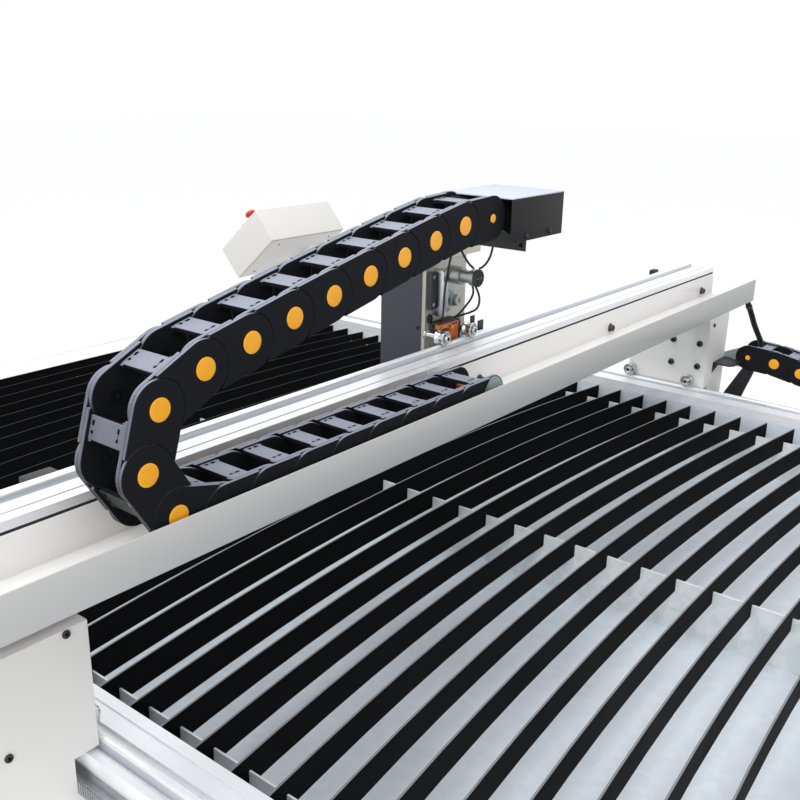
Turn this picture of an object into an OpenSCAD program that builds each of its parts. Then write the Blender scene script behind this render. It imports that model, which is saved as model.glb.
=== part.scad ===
// CNC plasma cutting table: a slat bed with rails, a gantry that rolls along them,
// a carriage that rolls across the gantry, a torch lifter and two drag chains.
// X runs along the bed, Y runs across it, Z is up from the floor, all in millimetres.
// The layout below is drawn about the middle of the bed and shifted once, at the end,
// so that the origin lies under the middle of the whole machine.

/* [Bed] */
// Clear length of the cutting bed
bed_l = 3200; // [3170:10:3300]
// Clear width of the cutting bed
bed_w = 1720; // [1700:10:1740]
// Height of the top edges of the slats
slat_top = 760; // [740:1:766]
// Spacing of the slats
slat_pitch = 66; // [56:1:67]
// Height of one slat
slat_h = 45; // [36:1:60]
// Thickness of one slat
slat_t = 3; // [2:0.5:5]
// How far the middle of each slat bows away from its ends
slat_bow = 62; // [20:1:80]
// Depth of the slots that hold the slats
slot_depth = 23.5; // [15:0.5:30]
// Height of the pan floor
pan_floor = 641; // [620:1:660]
// Thickness of the pan and bearer plates
sheet_t = 2; // [1.5:0.5:3]

/* [Frame] */
// Height of the side tubes
side_tube_h = 160; // [130:5:190]
// Width of the side tubes and of the legs
side_tube_w = 80; // [70:5:85]
// Wall of the frame tubes
tube_wall = 5; // [3:0.5:6]
// Distance of the outer legs from the middle of the bed
leg_x = 1560; // [1300:10:1580]

/* [Rails] */
// Width of the rail and beam profiles
rail_w = 88; // [86:1:96]
// Height of the rail and beam profiles
rail_h = 22; // [20:1:26]
// Diameter of the running rods
rod_d = 20; // [16:1:22]
// Distance of the rod from the inner edge of its profile
rod_in = 60; // [56:1:62]
// Height of the rod above its profile
rod_rise = 6.7; // [5:0.1:8]

/* [Gantry] */
// Height of the top of the beam
beam_top = 1113; // [1110:1:1118]
// Height of the beam tube
beam_h = 130; // [110:5:140]
// Depth of the beam tube
beam_d = 68; // [60:1:70]
// Near end of the beam
beam_near = -1150; // [-1160:5:-1100]
// Distance of the end boxes from the middle of the rods
box_clear = 12; // [10:0.5:15]
// Width of the end boxes
box_w = 130; // [120:1:135]
// Diameter of the gantry rollers
gantry_roller_d = 32; // [28:1:36]
// Distance between the gantry rollers of one side
wheelbase = 164; // [140:2:170]
// Clear width of the chain tray
tray_w = 111; // [104:1:124]
// Height of the outer wall of the chain tray
tray_h = 51; // [40:1:60]

/* [Drag chains] */
// Pitch of the links
pitch = 70; // [66:1:71]
// Radius of the link plates
link_r = 33; // [30:0.5:33]
// Width of a chain over its outer plates
chain_w = 89; // [80:1:92]
// Thickness of one link plate
link_t = 5.8; // [4:0.1:6]
// Diameter of the pin caps
cap_d = 27.5; // [22:0.5:30]

/* [Carriage] */
// Width of the carriage across the gantry
carriage_w = 120; // [110:1:122]
// Diameter of the carriage rollers
carriage_roller_d = 26; // [24:1:28]
// Diameter of the torch
torch_d = 30; // [25:1:32]
// Gap between the torch tip and the slats
torch_gap = 60; // [50:1:80]

/* [Console] */
// Length of the operator console
console_l = 382; // [360:1:420]
// Depth of the operator console
console_d = 228; // [210:1:240]
// Thickness of the operator console
console_t = 128; // [110:1:134]
// Tilt of the operator console
console_tilt = 41; // [35:1:46]

/* [Hidden] */
// True circles everywhere
$fn = 64;
// Clearance between parts that move on each other
gap = 0.3;
// Running clearance on a radius
fit = 0.06;
eps = 0.01;

// Bed
half_l = bed_l / 2;
half_w = bed_w / 2;
frame_y = half_w + sheet_t;
end_tube_w = 38;
frame_x = half_l + sheet_t + end_tube_w;
leg_y = frame_y + side_tube_w / 2;
slat_bottom = slat_top - slat_h;
slat_end_gap = 2;
slat_wall_x = -2;
slat_room = 10;
chord = half_w;
slat_r = (chord * chord + slat_bow * slat_bow) / (2 * slat_bow);
bearer_t = 3;
bearer_y = [-(half_w - 53), 0, half_w - 53];
slot_w = slat_t + 1.2;
leg_plate = [140, 10];
leg_bottom = 70;
foot = [80, 14];
stud_d = 20;

// Rails
rail_z = slat_top + 2;
rail_top = rail_z + rail_h;
rod_y = half_w + rod_in;
rod_seat = 0.1;
rod_z = rail_top + rod_rise - rod_d / 2;
channel = [42, 36, 5];
rack = [20, 20];
rack_z = 730;
rack_y = frame_y + side_tube_w;
pinion_r = 15;

// Gantry, measured from its own place at rest: the front face of the beam is beam_x
beam_x = -10;
beam_z = beam_top - rail_h;
box_x = [-218, -4];
box_y = [rod_y + box_clear, rod_y + box_clear + box_w];
beam_y = [beam_near, box_y[0]];
box_over = rail_top + 4;
box_top = beam_z - 55;
box_low = 700;
box_wall = 4;
skirt_y = rack_y + rack[0] + 4;
roller_x = [-44 - wheelbase, -44];
roller_w = 17;
groove = 1.7;
gantry_roller_z = rod_z + rod_d / 2 + gantry_roller_d / 2 - groove + gap;
stud_r = 5;
motor = [60, 100];
motor_x = -111;
pinion_y = rack_y + rack[0] + pinion_r + gap;
tray_x = beam_x + 2;
tray_floor = 1049;
tray_y = [-1360, beam_y[1] - 27];
tray_t = 2;
beam_rod_x = beam_x - rod_in;
beam_rod_z = beam_top + rod_rise - rod_d / 2;

// Chains: links in the lower run, the bend and the upper run, and the
// directions of the links past the lower run
chain_links = [9, 4, 8];
chain_turns = [165, 121, 73, 25.5, 13, 13, 12.5, 12, 12, 11.5, 10.5, 3];
side_links = [10, 4, 11];
side_turns = [165, 120, 75, 30, 0, 0, 0, 0, 0, 0, 1, 4, 8, 10.5, 3.5];
link_gap = 0.4;
side_t = 2 * link_t + link_gap;
disc_gap = 0.6;
bar = [24, 6, 8];
pin_d = 14;
cap_t = 0.9;
max_turn = 48.5;
// Line between snapped-together pieces, so that each stays a solid of its own
snap_gap = 0.02;
small_cap_d = 13;
chain_x = 8;
chain_start = [-803.5 + chain_links[0] * pitch, tray_floor + link_r + 0.5];
chain_headings = [for (i = [1:chain_links[0]]) 180, for (a = chain_turns) a];
side_z = 613;
side_start = [-100, side_z + link_r];
side_headings = [for (i = [1:side_links[0]]) 180, for (a = side_turns) a];
side_y = box_y[1] - 9;
trough_x = [-1400, 1760];
trough_arms = [-1300, -650, 0, 650, 1300, 1590];

// Carriage, at its own place at rest
plate_x = -113;
plate_t = 8;
plate_y = [-165, -165 + carriage_w];
plate_z = [1000, 1265];
cover_x = -202;
cover_top = 1290;
cover_bottom = 1005;
carriage_roller_y = [-162.7 + 2, -78.6];
carriage_roller_z = beam_rod_z + rod_d / 2 + carriage_roller_d / 2 - 2 + gap;
drive_y = -75;
rack_drop = 5;
drive_z = beam_z - rack_drop - rack[1] - pinion_r - gap;
lift_y = -135;
torch_x = -175;
torch_z = slat_top + torch_gap;
torch_top = 1215;
lift_motor_y = -128;
lift_motor_z = 1237;
hood_x = [-20, 110];
hood_y = [-243, -92];
hood_z = [1324, 1391];
cross_y = -190;

// Console: the top corner of its end face, the tilt and the place along Y
console_top = [-frame_x - 60, 1092];
console_y = 933;
console_wall = 2;
button_in = 26;
post = 50;
post_y = 1124;
post_x = frame_x + 36;
arm_z = 690;

// Middle of the machine, taken out once so that the origin lies under it
far_x = console_top[0] - console_d * cos(console_tilt);
middle_x = (far_x + trough_x[1]) / 2;
middle_y = (tray_y[0] + console_y + console_l) / 2;

// ---------------------------------------------------------------- helpers

// Moves the layout so that the origin lies under the middle of the machine
module placed()
    translate([-middle_x, -middle_y, 0]) children();

// A box from one corner to the other
module block(a, b)
    translate(a) cube(b - a);

// Square tube along Z, open at both ends
module tube(size, wall, length)
    difference() {
        cube([size[0], size[1], length]);
        translate([wall, wall, -1]) cube([size[0] - 2 * wall, size[1] - 2 * wall, length + 2]);
    }

// Square tube along X between two ends, from the corner y, z
module tube_x(x, y, z, size, wall)
    translate([x[0], y, z]) rotate([90, 0, 90]) tube(size, wall, x[1] - x[0]);

// Square tube along Y between two ends, from the corner x, z
module tube_y(x, y, z, size, wall)
    translate([x, y[1], z]) rotate([90, 0, 0]) tube(size, wall, y[1] - y[0]);

module both_sides() {
    children();
    mirror([0, 1, 0]) children();
}

// Hexagon prism for nuts, across flats
module nut(flats, length)
    cylinder(d = flats / cos(30), h = length, $fn = 6);

// Section shared by the rails and the beam: inner edge at x = 0, top at y = 0
module rail_section(line_drop)
    difference() {
        translate([0, -rail_h]) square([rail_w, rail_h]);
        translate([-1, -line_drop - 1]) square([3, 2]);
        translate([16.5, -2]) square([3, 3]);
        translate([channel[0], -channel[2]]) square([channel[1], channel[2] + 1]);
        translate([rod_in, rod_rise - rod_d / 2 - rod_seat]) circle(d = rod_d + 2 * rod_seat);
    }

// Grooved roller about Z, centred, with a true bore
module roller(d, w, bore, groove_depth)
    rotate_extrude() difference() {
        translate([bore, -w / 2]) square([d / 2 - bore, w]);
        translate([d / 2 - groove_depth + rod_d / 2 + gap, 0]) circle(d = rod_d + 2 * gap);
    }

// Motor body about Z with its shaft below the flange at z = 0
module motor_body(size, length, boss_r, shaft_r, shaft_l)
    union() {
        translate([-size / 2, -size / 2, 0]) cube([size, size, length]);
        translate([0, 0, -2]) cylinder(r = boss_r, h = 3);
        translate([0, 0, -shaft_l]) cylinder(r = shaft_r, h = shaft_l);
    }

// Where a slat meets the line y
function slat_x(k, y) =
    slat_wall_x - slat_bow + slat_pitch * k + slat_r - sqrt(slat_r * slat_r - y * y) - slat_t / 2;

slat_last = floor((half_l - slat_bow + slat_wall_x - slat_room) / slat_pitch);
slat_places = [-slat_last:slat_last];

// Pin places of a chain from its fixed end
function pin_at(start, headings, i) =
    i == 0 ? start
    : pin_at(start, headings, i - 1) + pitch * [cos(headings[i - 1]), sin(headings[i - 1])];

// Round tube through a list of points: a ring of points at each one, turned about
// a side that no stretch of a cable runs along
cable_side = [1, -1, 0.2];
function unit(v) = v / norm(v);
function tangent(p, i) = unit(p[min(i + 1, len(p) - 1)] - p[max(i - 1, 0)]);
function ring(p, i, r, sides) =
    let (t = tangent(p, i), a = unit(cross(t, cable_side)), b = cross(t, a))
    [for (k = [0:sides - 1]) p[i] + r * (cos(k * 360 / sides) * a + sin(k * 360 / sides) * b)];

module cable(p, r, sides) {
    n = len(p);
    walls = [for (i = [0:n - 2], k = [0:sides - 1])
        let (m = (k + 1) % sides, a = i * sides, b = a + sides)
        each [[a + k, a + m, b + m], [a + k, b + m, b + k]]];
    first = [for (k = [sides - 1:-1:0]) k];
    last = [for (k = [0:sides - 1]) (n - 1) * sides + k];
    polyhedron([for (i = [0:n - 1]) each ring(p, i, r, sides)], [each walls, first, last]);
}

// ---------------------------------------------------------------- drag chain links

// Room for the link before, straight or at the full bend
module link_room() {
    r = link_r + disc_gap;
    circle(r = r);
    rotate(max_turn) translate([-pitch, -r - gap]) square([pitch, 2 * (r + gap)]);
}

// Outline of the plate round the pin at the end of a link, outside the next link
module head_outline()
    difference() {
        union() {
            translate([pitch, 0]) circle(r = link_r);
            translate([0, -link_r]) square([pitch, 2 * link_r]);
        }
        link_room();
        translate([pitch, 0]) circle(d = pin_d + 2 * fit);
    }

// Outline of the plate round the pin at the start of a link, inside the one before
module tail_outline()
    translate([pitch, 0]) mirror([1, 0]) head_outline();

module waist_outline()
    difference() {
        translate([0, -link_r]) square([pitch, 2 * link_r]);
        link_room();
        translate([pitch, 0]) mirror([1, 0]) link_room();
    }

// One side plate, inner face at z = 0
module link_side() {
    linear_extrude(link_t) tail_outline();
    translate([0, 0, link_t - eps]) linear_extrude(link_gap + 2 * eps) waist_outline();
    translate([0, 0, link_t + link_gap]) linear_extrude(link_t) head_outline();
}

// A whole link: two side plates and two snapped-in crossbars, width along z
module chain_link() {
    translate([0, 0, chain_w - side_t]) link_side();
    translate([0, 0, side_t]) mirror([0, 0, 1]) link_side();
    for (v = [link_r - 1 - bar[1], 1 - link_r])
        translate([bar[2], v, side_t + snap_gap])
            cube([bar[0], bar[1], chain_w - 2 * side_t - 2 * snap_gap]);
}

// The two caps of a pin, each with its pin through both plates
module pin_caps(d)
    for (m = [0, 1])
        translate([0, 0, m * chain_w]) mirror([0, 0, m]) {
            translate([0, 0, -cap_t - snap_gap]) cylinder(d = d, h = cap_t);
            translate([0, 0, -snap_gap - eps]) cylinder(d = pin_d, h = side_t);
        }

module run_of_links(start, headings, from, count)
    for (i = [from:from + count - 1])
        translate(concat(pin_at(start, headings, i), [0])) rotate(headings[i]) chain_link();

module run_of_caps(start, headings, from, count, last_small)
    for (i = [from:from + count - 1])
        translate(concat(pin_at(start, headings, i + 1), [0])) rotate(headings[i])
            pin_caps(last_small && i == from + count - 1 ? small_cap_d : cap_d);

// The beam chain lies in the Y-Z plane, the side chain in the X-Z plane with its
// first direction reversed, so that both bend the same way
module beam_chain_plane()
    translate([chain_x, 0, 0]) rotate([90, 0, 90]) children();

module side_chain_plane()
    translate([0, side_y + chain_w, 0]) rotate([90, 0, 0]) mirror([1, 0, 0]) children();

// ---------------------------------------------------------------- bed

// Welded frame: every tube and plate ends at a weld line, so that each stays a solid of its own
module bed_frame() {
    side_z0 = rail_z - side_tube_h;
    leg_places = [-leg_x, 0, leg_x];
    low = [60, 160];
    joists = 3;
    across = [snap_gap - frame_y, frame_y - snap_gap];
    color("white") {
        both_sides() {
            tube_x([-frame_x, frame_x], frame_y, side_z0, [side_tube_w, side_tube_h], tube_wall);
            for (x = [-frame_x, frame_x - tube_wall])
                block([x, frame_y, side_z0],
                    [x + tube_wall, frame_y + side_tube_w, side_z0 + side_tube_h]);
            for (x = leg_places) {
                translate([x - side_tube_w / 2, leg_y - side_tube_w / 2, leg_bottom])
                    tube([side_tube_w, side_tube_w], tube_wall, side_z0 - leg_bottom - snap_gap);
                translate([x, leg_y, leg_bottom - leg_plate[1]]) difference() {
                    translate([-leg_plate[0] / 2, -leg_plate[0] / 2, 0])
                        cube([leg_plate[0], leg_plate[0], leg_plate[1] - snap_gap]);
                    translate([0, 0, -1]) cylinder(d = stud_d + 1, h = leg_plate[1] + 2);
                }
            }
            for (i = [0, 1])
                tube_x([leg_places[i] + side_tube_w / 2 + snap_gap,
                    leg_places[i + 1] - side_tube_w / 2 - snap_gap],
                    leg_y - low[0] / 2, low[1], [low[0], low[0]], tube_wall);
        }
        for (x = leg_places)
            tube_y(x - low[0] / 2, [side_tube_w / 2 + snap_gap - leg_y, leg_y - side_tube_w / 2 - snap_gap],
                low[1], [low[0], low[0]], tube_wall);
        for (m = [0, 1]) mirror([m, 0, 0]) {
            tube_y(half_l + sheet_t, across, rail_z - 120, [end_tube_w, 120], 4);
            block([half_l + sheet_t, gap - half_w, rail_z], [frame_x, half_w - gap, rail_z + 6]);
        }
        for (i = [-joists:joists])
            tube_y(i * 500 - 30, across, pan_floor - sheet_t - 30, [60, 30], 3);
        for (x = trough_arms)
            block([x - 20, rack_y + snap_gap, side_z0], [x + 20, side_y + chain_w + 6, side_z0 + 6]);
    }
}

module levelling_feet()
    color("dimgray") both_sides()
        for (x = [-leg_x, 0, leg_x]) translate([x, leg_y, 0]) {
            cylinder(d = foot[0], h = foot[1]);
            translate([0, 0, foot[1] - eps]) cylinder(d = stud_d, h = 100);
            for (z = [leg_bottom, leg_bottom - leg_plate[1] - 14])
                translate([0, 0, z]) difference() {
                    nut(30, 14);
                    translate([0, 0, -1]) cylinder(d = stud_d + 2 * fit, h = 16);
                }
        }

module slag_pan()
    color("lightgray") difference() {
        block([-half_l - sheet_t, -frame_y, pan_floor - sheet_t],
            [half_l + sheet_t, frame_y, rail_z]);
        block([-half_l, -half_w, pan_floor], [half_l, half_w, rail_z + 1]);
    }

module bearer(y) {
    h = slat_bottom + slot_depth - pan_floor;
    translate([0, y + bearer_t / 2, pan_floor]) rotate([90, 0, 0]) linear_extrude(bearer_t)
        difference() {
            translate([-half_l, 0]) square([2 * half_l, h]);
            for (k = slat_places)
                translate([slat_x(k, y) - slot_w / 2, h - slot_depth]) square([slot_w, slot_depth + 1]);
        }
}

module bearers()
    color("silver") for (y = bearer_y) bearer(y);

module slats() {
    half = asin((half_w - slat_end_gap) / slat_r);
    color([0.12, 0.12, 0.13]) for (k = slat_places)
        translate([slat_wall_x - slat_bow + slat_pitch * k + slat_r, 0, slat_bottom])
            rotate([0, 0, 180 - half])
                rotate_extrude(angle = 2 * half, $fn = 720)
                    translate([slat_r, 0]) square([slat_t, slat_h]);
}

module rail_profiles()
    color("silver") both_sides()
        translate([-frame_x, half_w, rail_top]) rotate([90, 0, 90])
            linear_extrude(2 * frame_x) rail_section(9.5);

module rail_rods()
    color("gainsboro") both_sides()
        translate([-frame_x, rod_y, rod_z]) rotate([0, 90, 0]) cylinder(d = rod_d, h = 2 * frame_x);

module rail_racks()
    color("gray") both_sides()
        block([-frame_x, rack_y, rack_z], [frame_x, rack_y + rack[0], rack_z + rack[1]]);

// ---------------------------------------------------------------- side drag chain

module side_chain_trough() {
    y0 = side_y - 4;
    y1 = side_y + chain_w + 4;
    top = 685;
    floor_top = side_z - 0.5;
    color("white") {
        difference() {
            block([trough_x[0], y0 - sheet_t, floor_top - sheet_t],
                [trough_x[1], y1 + sheet_t, top]);
            block([trough_x[0] - 1, y0, floor_top], [trough_x[1] + 1, y1, top + 1]);
        }
        for (x = trough_arms)
            block([x - 20, y0, rail_z - side_tube_h + 6], [x + 20, y1, floor_top - sheet_t]);
    }
    // fixed end of the chain
    color("silver") end_fork(-side_start[0], side_start[1], floor_top);
}

// Galvanised fork that holds the first link of the side chain, pin at x, z
module end_fork(x, z, floor_z) {
    lug = 3;
    back = 75;
    y = [side_y + link_t, side_y + chain_w - link_t];
    for (y1 = [y[0], y[1] + lug])
        translate([x, y1, 0]) rotate([90, 0, 0]) linear_extrude(lug) difference() {
            union() {
                translate([0, z]) circle(r = link_r - 2);
                translate([-back, floor_z]) square([back, 40]);
            }
            translate([0, z]) circle(d = pin_d + 2 * fit);
        }
    block([x - back, y[0], floor_z], [x - back + 30, y[1], floor_z + 3]);
    translate([x, side_y + chain_w, z]) rotate([90, 0, 0]) pin_caps(small_cap_d);
}

module side_run(from, count, last_small) {
    color([0.17, 0.17, 0.19]) side_chain_plane()
        run_of_links(side_start, side_headings, from, count);
    color("orange") side_chain_plane()
        run_of_caps(side_start, side_headings, from, count, last_small);
}

module side_chain_lower()
    side_run(0, side_links[0], false);

module side_chain_bend()
    side_run(side_links[0], side_links[1], false);

module side_chain_upper()
    side_run(side_links[0] + side_links[1], side_links[2], true);

// ---------------------------------------------------------------- console

// Console frame: x along the operator face from its top edge, z out of that face
module console_place()
    translate([console_top[0], console_y, console_top[1]])
        rotate([0, 180 - console_tilt, 0]) mirror([0, 0, 1]) children();

module console_arm()
    color("white") difference() {
        union() {
            block([-post_x - post, leg_y - post / 2, arm_z], [-frame_x, leg_y + post / 2, arm_z + post]);
            block([-post_x - post, leg_y, arm_z], [-post_x, post_y + post / 2, arm_z + post]);
            block([-post_x - post, post_y - post / 2, arm_z], [-post_x, post_y + post / 2, arm_z + 270]);
        }
        console_place() block([-50, -50, -console_t - 2], [console_d + 50, console_l + 50, 100]);
    }

module console_box()
    color("white") console_place() difference() {
        block([0, 0, -console_t], [console_d, console_l, 0]);
        block([console_wall, console_wall, -console_t - 1],
            [console_d - console_wall, console_l - console_wall, -console_wall]);
        translate([52, button_in, -5]) cylinder(d = 22 + 2 * fit, h = 10);
        for (x = [107, 151]) translate([x, button_in, -5]) cylinder(d = 16 + 2 * fit, h = 10);
        block([30, 90, -5], [170, 330, 5]);
    }

module console_back()
    color("gainsboro") console_place() {
        block([0, 0, -console_t - 2], [console_d, console_l, -console_t]);
        block([3, 3, -console_t - eps], [console_d - 3, console_l - 3, -console_t + 2]);
    }

module console_screen()
    color([0.05, 0.06, 0.08]) console_place() {
        block([30, 90, -30], [170, 330, -0.5]);
        block([24, 84, -30], [176, 336, -console_wall]);
    }

// Push button: a cap on a stem that runs through the panel, with a collar behind it
module push_button(x, stem_d, cap_d, cap_h, lift)
    console_place() translate([x, button_in, 0]) {
        translate([0, 0, lift]) cylinder(d = cap_d, h = cap_h);
        translate([0, 0, -14]) cylinder(d = stem_d, h = 14 + lift + eps);
        translate([0, 0, -console_wall - gap - 3]) cylinder(d = stem_d + 6, h = 3);
    }

module estop_button()
    color("red") push_button(52, 22, 40, 14, 14);

module start_button()
    color([0.1, 0.1, 0.1]) push_button(107, 16, 22, 6, 4);

module stop_button()
    color([0.1, 0.1, 0.1]) push_button(151, 16, 22, 6, 4);

// ---------------------------------------------------------------- gantry

module beam_tube()
    color("white") {
        tube_y(beam_x - beam_d, beam_y, beam_z - beam_h, [beam_d, beam_h], tube_wall);
        for (y = [beam_y[0], beam_y[1] - tube_wall])
            block([beam_x - beam_d, y, beam_z - beam_h], [beam_x, y + tube_wall, beam_z]);
    }

module beam_profile()
    color("silver") translate([beam_x, beam_y[1] - 10, beam_top]) rotate([90, 0, 0])
        linear_extrude(beam_y[1] - 10 - beam_y[0]) mirror([1, 0]) rail_section(14.5);

module beam_rod()
    color("gainsboro") translate([beam_rod_x, beam_y[1] - 30, beam_rod_z]) rotate([90, 0, 0])
        cylinder(d = rod_d, h = beam_y[1] - 30 - beam_y[0]);

module beam_rack()
    color("gray") block([beam_x - beam_d - rack[0], -1000, beam_z - rack_drop - rack[1]],
        [beam_x - beam_d, 860, beam_z - rack_drop]);

// Closed box over the end of the rails, with a skirt round the drive pinion
module end_box(top) {
    x = box_x;
    y = box_y;
    w = box_wall;
    difference() {
        union() {
            block([x[0], y[0], box_over], [x[1], y[1], top]);
            block([x[0], skirt_y, box_low], [x[1], y[1], box_over]);
        }
        block([x[0] + w, y[0] + w, box_over + w], [x[1] - w, y[1] - w, top - w]);
        block([x[0] + w, skirt_y - 1, box_low - 1], [x[1] - w, y[1] - w, box_over]);
        translate([motor_x, pinion_y, box_over - 1]) cylinder(d = 44, h = w + 2);
        for (rx = roller_x) translate([rx, y[0] - 1, gantry_roller_z]) rotate([-90, 0, 0])
            cylinder(r = stud_r + fit, h = w + 2);
    }
}

module end_box_right()
    color("white") end_box(box_top);

module end_box_left()
    color("white") mirror([0, 1, 0]) end_box(beam_z - beam_h);

// Flange, floor and wall, each a solid of its own up to its weld line
module chain_tray()
    color("white") {
        block([beam_x, tray_y[0], tray_floor + snap_gap], [beam_x + tray_t, tray_y[1], beam_z + 7]);
        block([beam_x, tray_y[0], tray_floor - tray_t],
            [tray_x + tray_w - snap_gap, tray_y[1], tray_floor]);
        block([tray_x + tray_w, tray_y[0], tray_floor - tray_t],
            [tray_x + tray_w + tray_t, tray_y[1], tray_floor + tray_h]);
    }

// Stud, hex nut and head of each gantry roller, and a spacer behind it
module gantry_axles()
    color("silver") both_sides()
        for (x = roller_x) translate([x, 0, gantry_roller_z]) rotate([-90, 0, 0]) {
            front = rod_y - roller_w / 2 - gap;
            back = rod_y + roller_w / 2 + gap;
            translate([0, 0, front - 6]) cylinder(r = stud_r, h = box_y[0] + box_wall - front + 6);
            translate([0, 0, front - 4]) cylinder(r = 7.5, h = 4);
            translate([0, 0, back]) nut(17, box_y[0] - back);
        }

module gantry_roller(x, side)
    color("silver") translate([x, side * rod_y, gantry_roller_z]) rotate([90, 0, 0])
        roller(gantry_roller_d, roller_w, stud_r + fit, groove);

module gantry_roller_front_right() gantry_roller(roller_x[1], 1);
module gantry_roller_rear_right() gantry_roller(roller_x[0], 1);
module gantry_roller_front_left() gantry_roller(roller_x[1], -1);
module gantry_roller_rear_left() gantry_roller(roller_x[0], -1);

module drive_motors()
    color([0.15, 0.15, 0.16]) both_sides()
        translate([motor_x, pinion_y, box_over + box_wall])
            motor_body(motor[0], motor[1], 20, stud_r, box_over + box_wall - rack_z + 5);

module drive_pinion(side)
    color("gray") translate([motor_x, side * pinion_y, rack_z]) difference() {
        cylinder(r = pinion_r, h = rack[1]);
        translate([0, 0, -1]) cylinder(r = stud_r + fit, h = rack[1] + 2);
    }

module drive_pinion_right() drive_pinion(1);
module drive_pinion_left() drive_pinion(-1);

// Galvanised fork at the fixed end of the beam chain
module chain_anchor() {
    lug = 3;
    y0 = chain_start[0];
    z0 = chain_start[1];
    back = 72;
    color("silver") {
        for (x = [chain_x + link_t - lug, chain_x + chain_w - link_t])
            translate([x, 0, 0]) rotate([90, 0, 90]) linear_extrude(lug) difference() {
                union() {
                    translate([y0, z0]) circle(r = link_r - 2);
                    translate([y0, tray_floor]) square([back, z0 + link_r - 2 - tray_floor - 12]);
                    translate([y0, tray_floor]) square([back - 12, z0 + link_r - 2 - tray_floor]);
                    translate([y0 + back - 12, z0 + link_r - 14]) circle(r = 12);
                }
                translate([y0, z0]) circle(d = pin_d + 2 * fit);
                translate([y0 - link_r, tray_floor - 10]) square([2 * link_r, 10]);
            }
        block([chain_x + link_t, y0 + 38, tray_floor],
            [chain_x + chain_w - link_t, y0 + back, tray_floor + lug]);
        beam_chain_plane() translate([y0, z0]) pin_caps(small_cap_d);
    }
}

// Blocks behind the beam that stop the carriage at each end of its travel
module beam_stops()
    color("dimgray") for (y = [-890, 764])
        block([beam_x - rail_w - 14, y, beam_z + 2], [beam_x - rail_w, y + 24, beam_top + 1.5]);

// Shelf, gusset, strut and end plate that carry the side chain from the end box
module side_chain_bracket() {
    plate_t = side_y + side_t - box_y[1];
    strut_t = 6;
    x0 = box_x[1];
    y1 = box_y[1];
    shelf_z = 845;
    end_pin = pin_at(side_start, side_headings, len(side_headings));
    color("silver") translate([0, y1 + plate_t, 0]) rotate([90, 0, 0]) linear_extrude(plate_t)
        difference() {
            union() {
                translate([-end_pin[0], end_pin[1]]) circle(r = link_r - 2);
                polygon([[x0 - 60, 829], [56, 829], [44, 889], [x0, 863], [x0 - 60, 863]]);
            }
            translate([-end_pin[0], end_pin[1]]) circle(d = pin_d + 2 * fit);
        }
    color([0.12, 0.12, 0.13]) {
        translate([x0, 983, shelf_z]) linear_extrude(5)
            polygon([[0, 0], [44, 0], [54, 14], [54, 69], [24, 69], [24, y1 - 983], [0, y1 - 983]]);
        translate([x0, 988, 0]) rotate([90, 0, 0]) linear_extrude(5)
            polygon([[0, 820], [14, shelf_z], [0, shelf_z]]);
        translate([0, y1 + strut_t, 0]) rotate([90, 0, 0]) linear_extrude(strut_t)
            polygon([[33, 825], [67, 825], [35, 730], [22, 703], [x0 - 60, 703], [x0 - 60, 735], [0, 735]]);
    }
}

// Cable from the chain tray down to the side chain, and the clip at its upper end
tray_cable = [[44, 900, 1057], [46, 960, 1051], [50, 1010, 1030], [53, 1035, 1004],
    [57, 1052, 980], [63, 1068, 950], [70, 1083, 924], [77, 1094, 902], [83, 1099, 882],
    [98, 1102, 867], [125, 1104, 860], [160, 1104, 852]];
module gantry_cables()
    color([0.08, 0.08, 0.08]) cable(tray_cable, 7, 10);

// ---------------------------------------------------------------- beam chain

module links(from, count)
    color([0.17, 0.17, 0.19]) beam_chain_plane()
        run_of_links(chain_start, chain_headings, from, count);

module caps(from, count, last_small)
    color("orange") beam_chain_plane()
        run_of_caps(chain_start, chain_headings, from, count, last_small);

module chain_links_lower() links(0, chain_links[0]);
module chain_caps_lower() caps(0, chain_links[0], false);
module chain_links_bend() links(chain_links[0], chain_links[1]);
module chain_caps_bend() caps(chain_links[0], chain_links[1], false);
module chain_links_upper() links(chain_links[0] + chain_links[1], chain_links[2]);
module chain_caps_upper() caps(chain_links[0] + chain_links[1], chain_links[2], true);

// ---------------------------------------------------------------- carriage

module carriage_plate()
    color([0.35, 0.34, 0.34]) difference() {
        block([plate_x, plate_y[0], plate_z[0]], [plate_x + plate_t, plate_y[1], plate_z[1]]);
        translate([plate_x - 1, drive_y, drive_z]) rotate([0, 90, 0]) cylinder(r = 9, h = plate_t + 2);
        translate([plate_x - 1, lift_motor_y, lift_motor_z]) rotate([0, 90, 0])
            cylinder(r = 6, h = plate_t + 2);
    }

// Folded cover over the lifter and the drive, open towards the plate and below
module carriage_cover() {
    t = 2;
    color([0.24, 0.26, 0.29]) difference() {
        block([cover_x, plate_y[0] - t, cover_bottom], [plate_x, plate_y[1] + t, cover_top]);
        block([cover_x + t, plate_y[0], cover_bottom - 1], [plate_x + 1, plate_y[1], cover_top - t]);
    }
}

// Standoffs and pins of the two rollers, and the pad that bears on the beam
module carriage_axles()
    color("silver") {
        roller_x0 = beam_rod_x - 10;
        for (y = carriage_roller_y) translate([0, y, carriage_roller_z]) rotate([0, 90, 0]) {
            translate([0, 0, plate_x + plate_t]) cylinder(r = 6, h = roller_x0 - plate_x - plate_t);
            translate([0, 0, roller_x0 - 1]) cylinder(r = 4, h = 24);
            translate([0, 0, roller_x0 + 20]) difference() {
                cylinder(r = 7, h = 4);
                translate([0, 0, 1.5]) nut(7, 4);
            }
        }
        block([plate_x + plate_t, -130, 1002], [beam_x - beam_d - gap, -90, 1022]);
    }

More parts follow.
